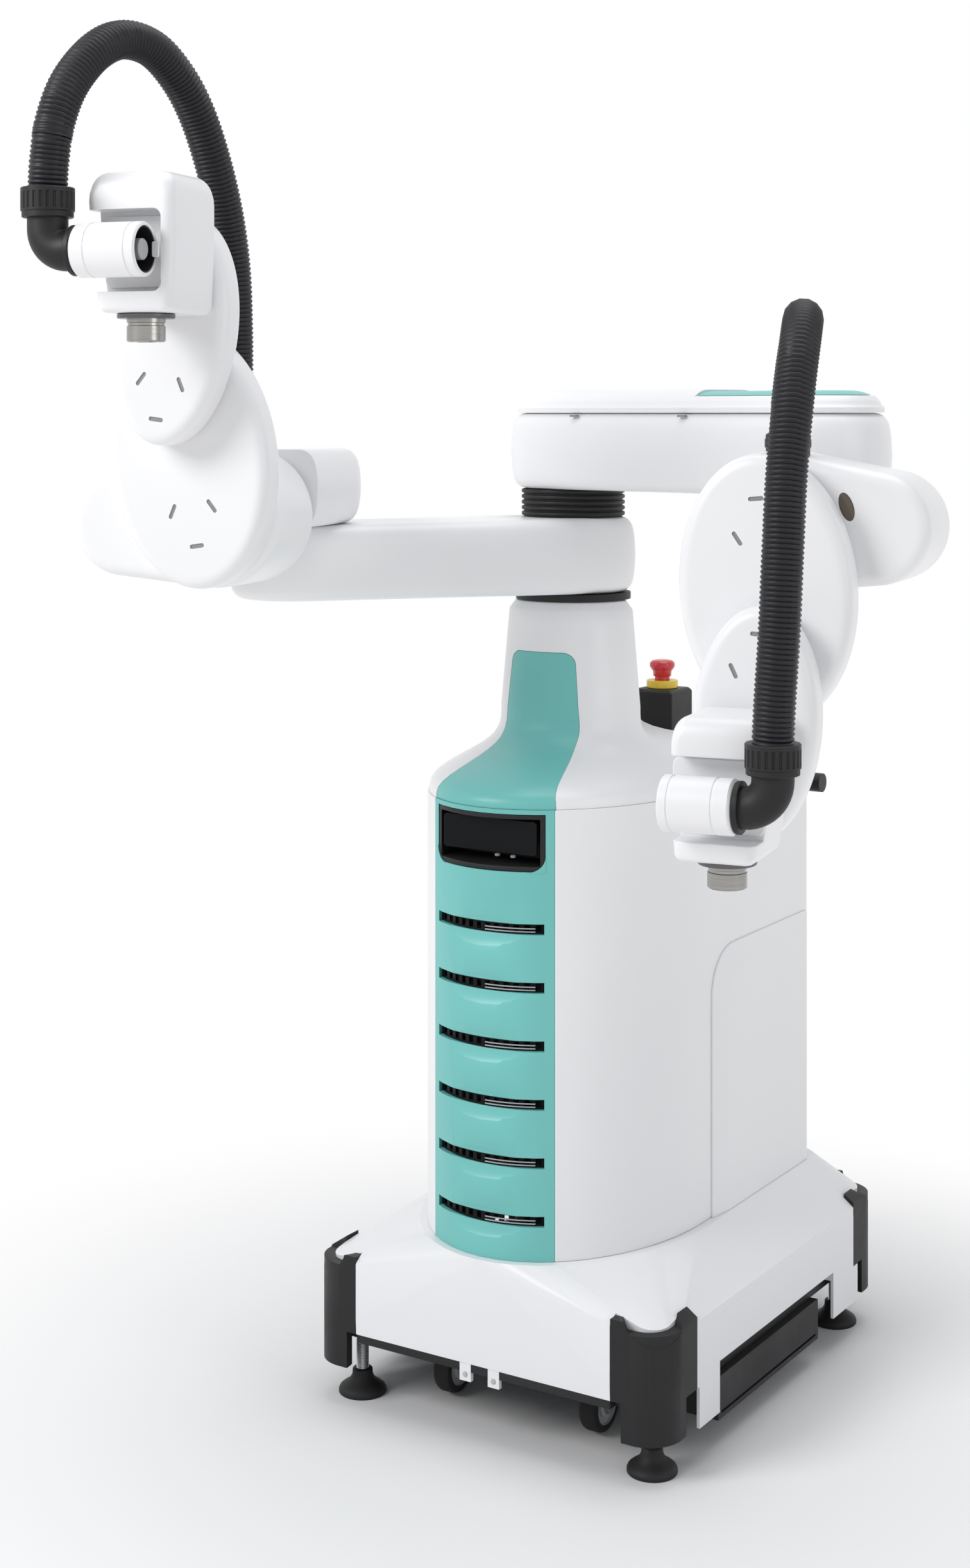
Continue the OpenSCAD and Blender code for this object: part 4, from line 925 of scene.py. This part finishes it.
def smooth_route(points, step=ROUTE_STEP):
    """A Catmull-Rom line through points, at equal steps"""
    fine = []
    ends = [points[0] * 2 - points[1], *points, points[-1] * 2 - points[-2]]
    for a, b, c, d in zip(ends, ends[1:], ends[2:], ends[3:]):
        for k in range(24):
            t = k / 24
            fine.append(0.5 * (2 * b + (c - a) * t + (2 * a - 5 * b + 4 * c - d) * t ** 2
                               + (3 * b - a - 3 * c + d) * t ** 3))
    fine.append(points[-1])
    found, left = [fine[0]], step
    for a, b in zip(fine, fine[1:]):
        gap = (b - a).length
        while left <= gap:
            found.append(a.lerp(b, left / gap))
            left += step
        left -= gap
    return found


def corrugated(name, points, body, r, place, stands_for=()):
    """A ribbed tube along a line of close points"""
    line = bpy.data.curves.new(name, "CURVE")
    line.dimensions = "3D"
    line.bevel_depth = 1
    line.bevel_resolution = 5
    line.use_fill_caps = True
    line.twist_mode = "MINIMUM"
    spline = line.splines.new("POLY")
    spline.points.add(len(points) - 1)
    for i, p in enumerate(points):
        wave = 0.5 - 0.5 * math.cos(2 * math.pi * i * ROUTE_STEP / RIB_PITCH)
        spline.points[i].co = (*p, 1)
        spline.points[i].radius = r - RIB_DEPTH * wave ** 1.5
    holder = bpy.data.objects.new(name + "_line", line)
    bpy.context.scene.collection.objects.link(holder)
    mesh = bpy.data.meshes.new_from_object(holder.evaluated_get(bpy.context.evaluated_depsgraph_get()))
    bpy.data.objects.remove(holder)
    bm = bmesh.new()
    bm.from_mesh(mesh)
    bpy.data.meshes.remove(mesh)
    return piece(name, bm, body, "hose_rubber", *stands_for, place=place, sharp=75)


def hose(side, arm):
    """A stub, the loop, and short sleeves along a spare stretch of the line"""
    nut = hand_z(arm) + DUCT_UP + FITTING_H - 0.3
    route = [Vector((w, -s, nut if z is None else z)) for w, s, z in ROUTES[side]]
    line = smooth_route(route)
    fore, hand = BODY_OF[side + "_forearm"], BODY_OF[side + "_wrist"]
    place = fore_frame(arm)
    if side == "left":
        split = next(i for i, p in enumerate(line) if p.z > 1518)
        stub, loop, held, kept = line[:split + 8], line[split:], hand, fore
        root, spare = line[-1], [p for p in line if 1462 < p.z < 1545 and -p.y > 440]
    else:
        split = next(i for i, p in enumerate(line) if i > 20 and -p.y < 208)
        stub, loop, held, kept = line[split - 8:], line[:split], fore, hand
        root = line[0]
        spare = [line[-1] + Vector((0, 0, ROUTE_STEP * i - 84)) for i in range(68)]
    corrugated(side + "_hose_stub", stub, held, HOSE_R - 0.3, place)
    made = corrugated(side + "_hose_loop", loop, kept, HOSE_R, place, stands_for=(side + "_hose",))
    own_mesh(made)
    for k in range(1, SLEEVES + 1):
        sleeve = corrugated("%s_hose_sleeve_%d" % (side, k), spare, fore, HOSE_R - 2.4, place)
        slide(sleeve)


def slide(made):
    """Gives a sleeve a mesh of its own"""
    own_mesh(made)


def socket(side, arm):
    """The plain cuff from which the hose leaves the lift housing"""
    r = HOSE_R + 3
    cuff = [(0, 1180.3), (r - 0.2, 1180.3), (r - 0.2, 1199), (r + 1, 1200), (r + 1, 1208), (r, 1210),
            (r, SOCKET_TOP - 2), (r - 2, SOCKET_TOP - 0.4), (0, SOCKET_TOP - 0.4)]
    place = fore_frame(arm) @ Matrix.Translation((arm["socket_x"], -SOCKET_S, 0))
    piece(side + "_socket_skin", lathe(cuff, place), BODY_OF[side + "_hose_socket"], "black_plastic",
          side + "_hose_socket", sharp=50)


def tool_flange(side, arm):
    """Black seal, bright collar and grooved flange under the wrist"""
    z = hand_z(arm) - WRIST_DOWN - GAP
    place = fore_frame(arm) @ Matrix.Translation((0, -LINK_LEN, z))
    body, r = BODY_OF[side + "_tool_flange"], 20
    collar = [(0, 12), (21.8, 12), (21.8, 0), (29, 0), (30, -0.8), (30, -4), (29.2, -5), (0, -5), (0, 12)]
    piece(side + "_flange_seal", lathe(collar, place), body, "tool_steel", finish_name="dark_steel", sharp=40)
    shank = [(12, -5), (r, -5), (r, -9), (r - 1.2, -9.6), (r - 1.2, -12.4), (r, -13), (r, -27.8),
             (r - 1.2, -29), (10, -29), (10, -24), (6, -24), (6, -5), (12, -5)]
    made = piece(side + "_tool_flange_skin", lathe(shank, place), body, "tool_steel", side + "_tool_flange",
                 sharp=40)
    holes = bmesh.new()
    for k in range(4):
        angle = math.radians(45 + 90 * k)
        x, y = 15.75 * math.cos(angle), 15.75 * math.sin(angle)
        rod(holes, (x, y, -31), (x, y, -20), 2.5, 24)
    cut(made, holes, place=place)


def arms():
    links()
    for side, arm in ARMS.items():
        forearm(side, arm)
        housing(side, arm)
        bar(side, arm, True)
        bar(side, arm, False)
        wrist(side, arm)
        duct(side, arm)
        elbow_fitting(side, arm)
        hose(side, arm)
        socket(side, arm)
        tool_flange(side, arm)


def turret():
    dressed("turret_collar", 0.6)
    low, high = box_of("turret_ring")
    r, tall, ridges = (high.x - low.x) / 2, high.z - low.z, 5
    profile = [(41, low.z)]
    for k in range(ridges):
        base = low.z + tall * k / ridges
        profile += [(r - 3, base), (r - 3, base + 0.8), (r - 0.8, base + 1.6), (r, base + 2.6),
                    (r, base + tall / ridges - 2.0), (r - 0.8, base + tall / ridges - 1.0),
                    (r - 3, base + tall / ridges - 0.3)]
    profile += [(41, high.z), (41, low.z)]
    piece("turret_ring_skin", lathe(profile, Matrix.Identity(4), 96), "cart", "black_plastic", "turret_ring",
          sharp=45)


def floor():
    bm = bmesh.new()
    bmesh.ops.create_grid(bm, x_segments=1, y_segments=1, size=12)
    mesh = bpy.data.meshes.new("floor")
    bm.to_mesh(mesh)
    bm.free()
    made = bpy.data.objects.new("floor", mesh)
    bpy.context.scene.collection.objects.link(made)
    mesh.materials.append(pale_floor())


def pale_floor():
    """Pale grey under the part, where its shadow falls, and plain white further out"""
    material = bpy.data.materials.new("pale_floor")
    material.use_nodes = True
    nodes, links = material.node_tree.nodes, material.node_tree.links
    shader = nodes["Principled BSDF"]
    shader.inputs["Base Color"].default_value = (0.9, 0.9, 0.9, 1)
    shader.inputs["Roughness"].default_value = 0.9
    shader.inputs["Specular IOR Level"].default_value = 0.1
    place = nodes.new("ShaderNodeTexCoord")
    spread = nodes.new("ShaderNodeVectorMath")
    spread.operation = "LENGTH"
    share = nodes.new("ShaderNodeMapRange")
    share.interpolation_type = "SMOOTHSTEP"
    share.inputs["From Min"].default_value = 0.35
    share.inputs["From Max"].default_value = 1.15
    glow = nodes.new("ShaderNodeEmission")
    glow.inputs["Color"].default_value = (1, 1, 1, 1)
    mix = nodes.new("ShaderNodeMixShader")
    links.new(place.outputs["Object"], spread.inputs[0])
    links.new(spread.outputs["Value"], share.inputs["Value"])
    links.new(share.outputs["Result"], mix.inputs["Fac"])
    links.new(shader.outputs["BSDF"], mix.inputs[1])
    links.new(glow.outputs["Emission"], mix.inputs[2])
    links.new(mix.outputs["Shader"], nodes["Material Output"].inputs["Surface"])
    return material


# Surroundings
def lamp(name, place, target, size, power):
    light = bpy.data.lights.new(name, "AREA")
    light.size = size
    light.energy = power
    holder = bpy.data.objects.new(name, light)
    holder.location = place
    holder.rotation_euler = (Vector(target) - Vector(place)).to_track_quat("-Z", "Y").to_euler()
    bpy.context.scene.collection.objects.link(holder)


def studio():
    """Soft light from the left and above, and a white surround"""
    lamp("key", (-1.6, -3.4, 3.0), (0, -0.1, 0.9), 1.8, 95)
    lamp("top", (0.4, 0.2, 4.2), (0, 0, 0.6), 2.6, 50)
    lamp("side", (3.6, -0.8, 1.6), (0.1, 0, 0.9), 1.6, 14)
    world = bpy.data.worlds.new("studio")
    bpy.context.scene.world = world
    world.use_nodes = True
    nodes, links = world.node_tree.nodes, world.node_tree.links
    soft = nodes["Background"]
    soft.inputs["Color"].default_value = (0.93, 0.95, 1.0, 1)
    soft.inputs["Strength"].default_value = 0.42
    white = nodes.new("ShaderNodeBackground")
    white.inputs["Strength"].default_value = 1
    white.inputs["Color"].default_value = (1, 1, 1, 1)
    path = nodes.new("ShaderNodeLightPath")
    either = nodes.new("ShaderNodeMath")
    either.operation = "MAXIMUM"
    any_of = nodes.new("ShaderNodeMath")
    any_of.operation = "MAXIMUM"
    blend = nodes.new("ShaderNodeMixShader")
    links.new(path.outputs["Is Camera Ray"], either.inputs[0])
    links.new(path.outputs["Is Glossy Ray"], either.inputs[1])
    links.new(either.outputs[0], any_of.inputs[0])
    links.new(path.outputs["Is Transmission Ray"], any_of.inputs[1])
    links.new(any_of.outputs[0], blend.inputs["Fac"])
    links.new(soft.outputs[0], blend.inputs[1])
    links.new(white.outputs[0], blend.inputs[2])
    links.new(blend.outputs[0], nodes["World Output"].inputs["Surface"])
    bpy.context.scene.view_settings.view_transform = "Standard"


cart()
cabinet()
neck()
stop_button()
turret()
arms()
floor()
studio()
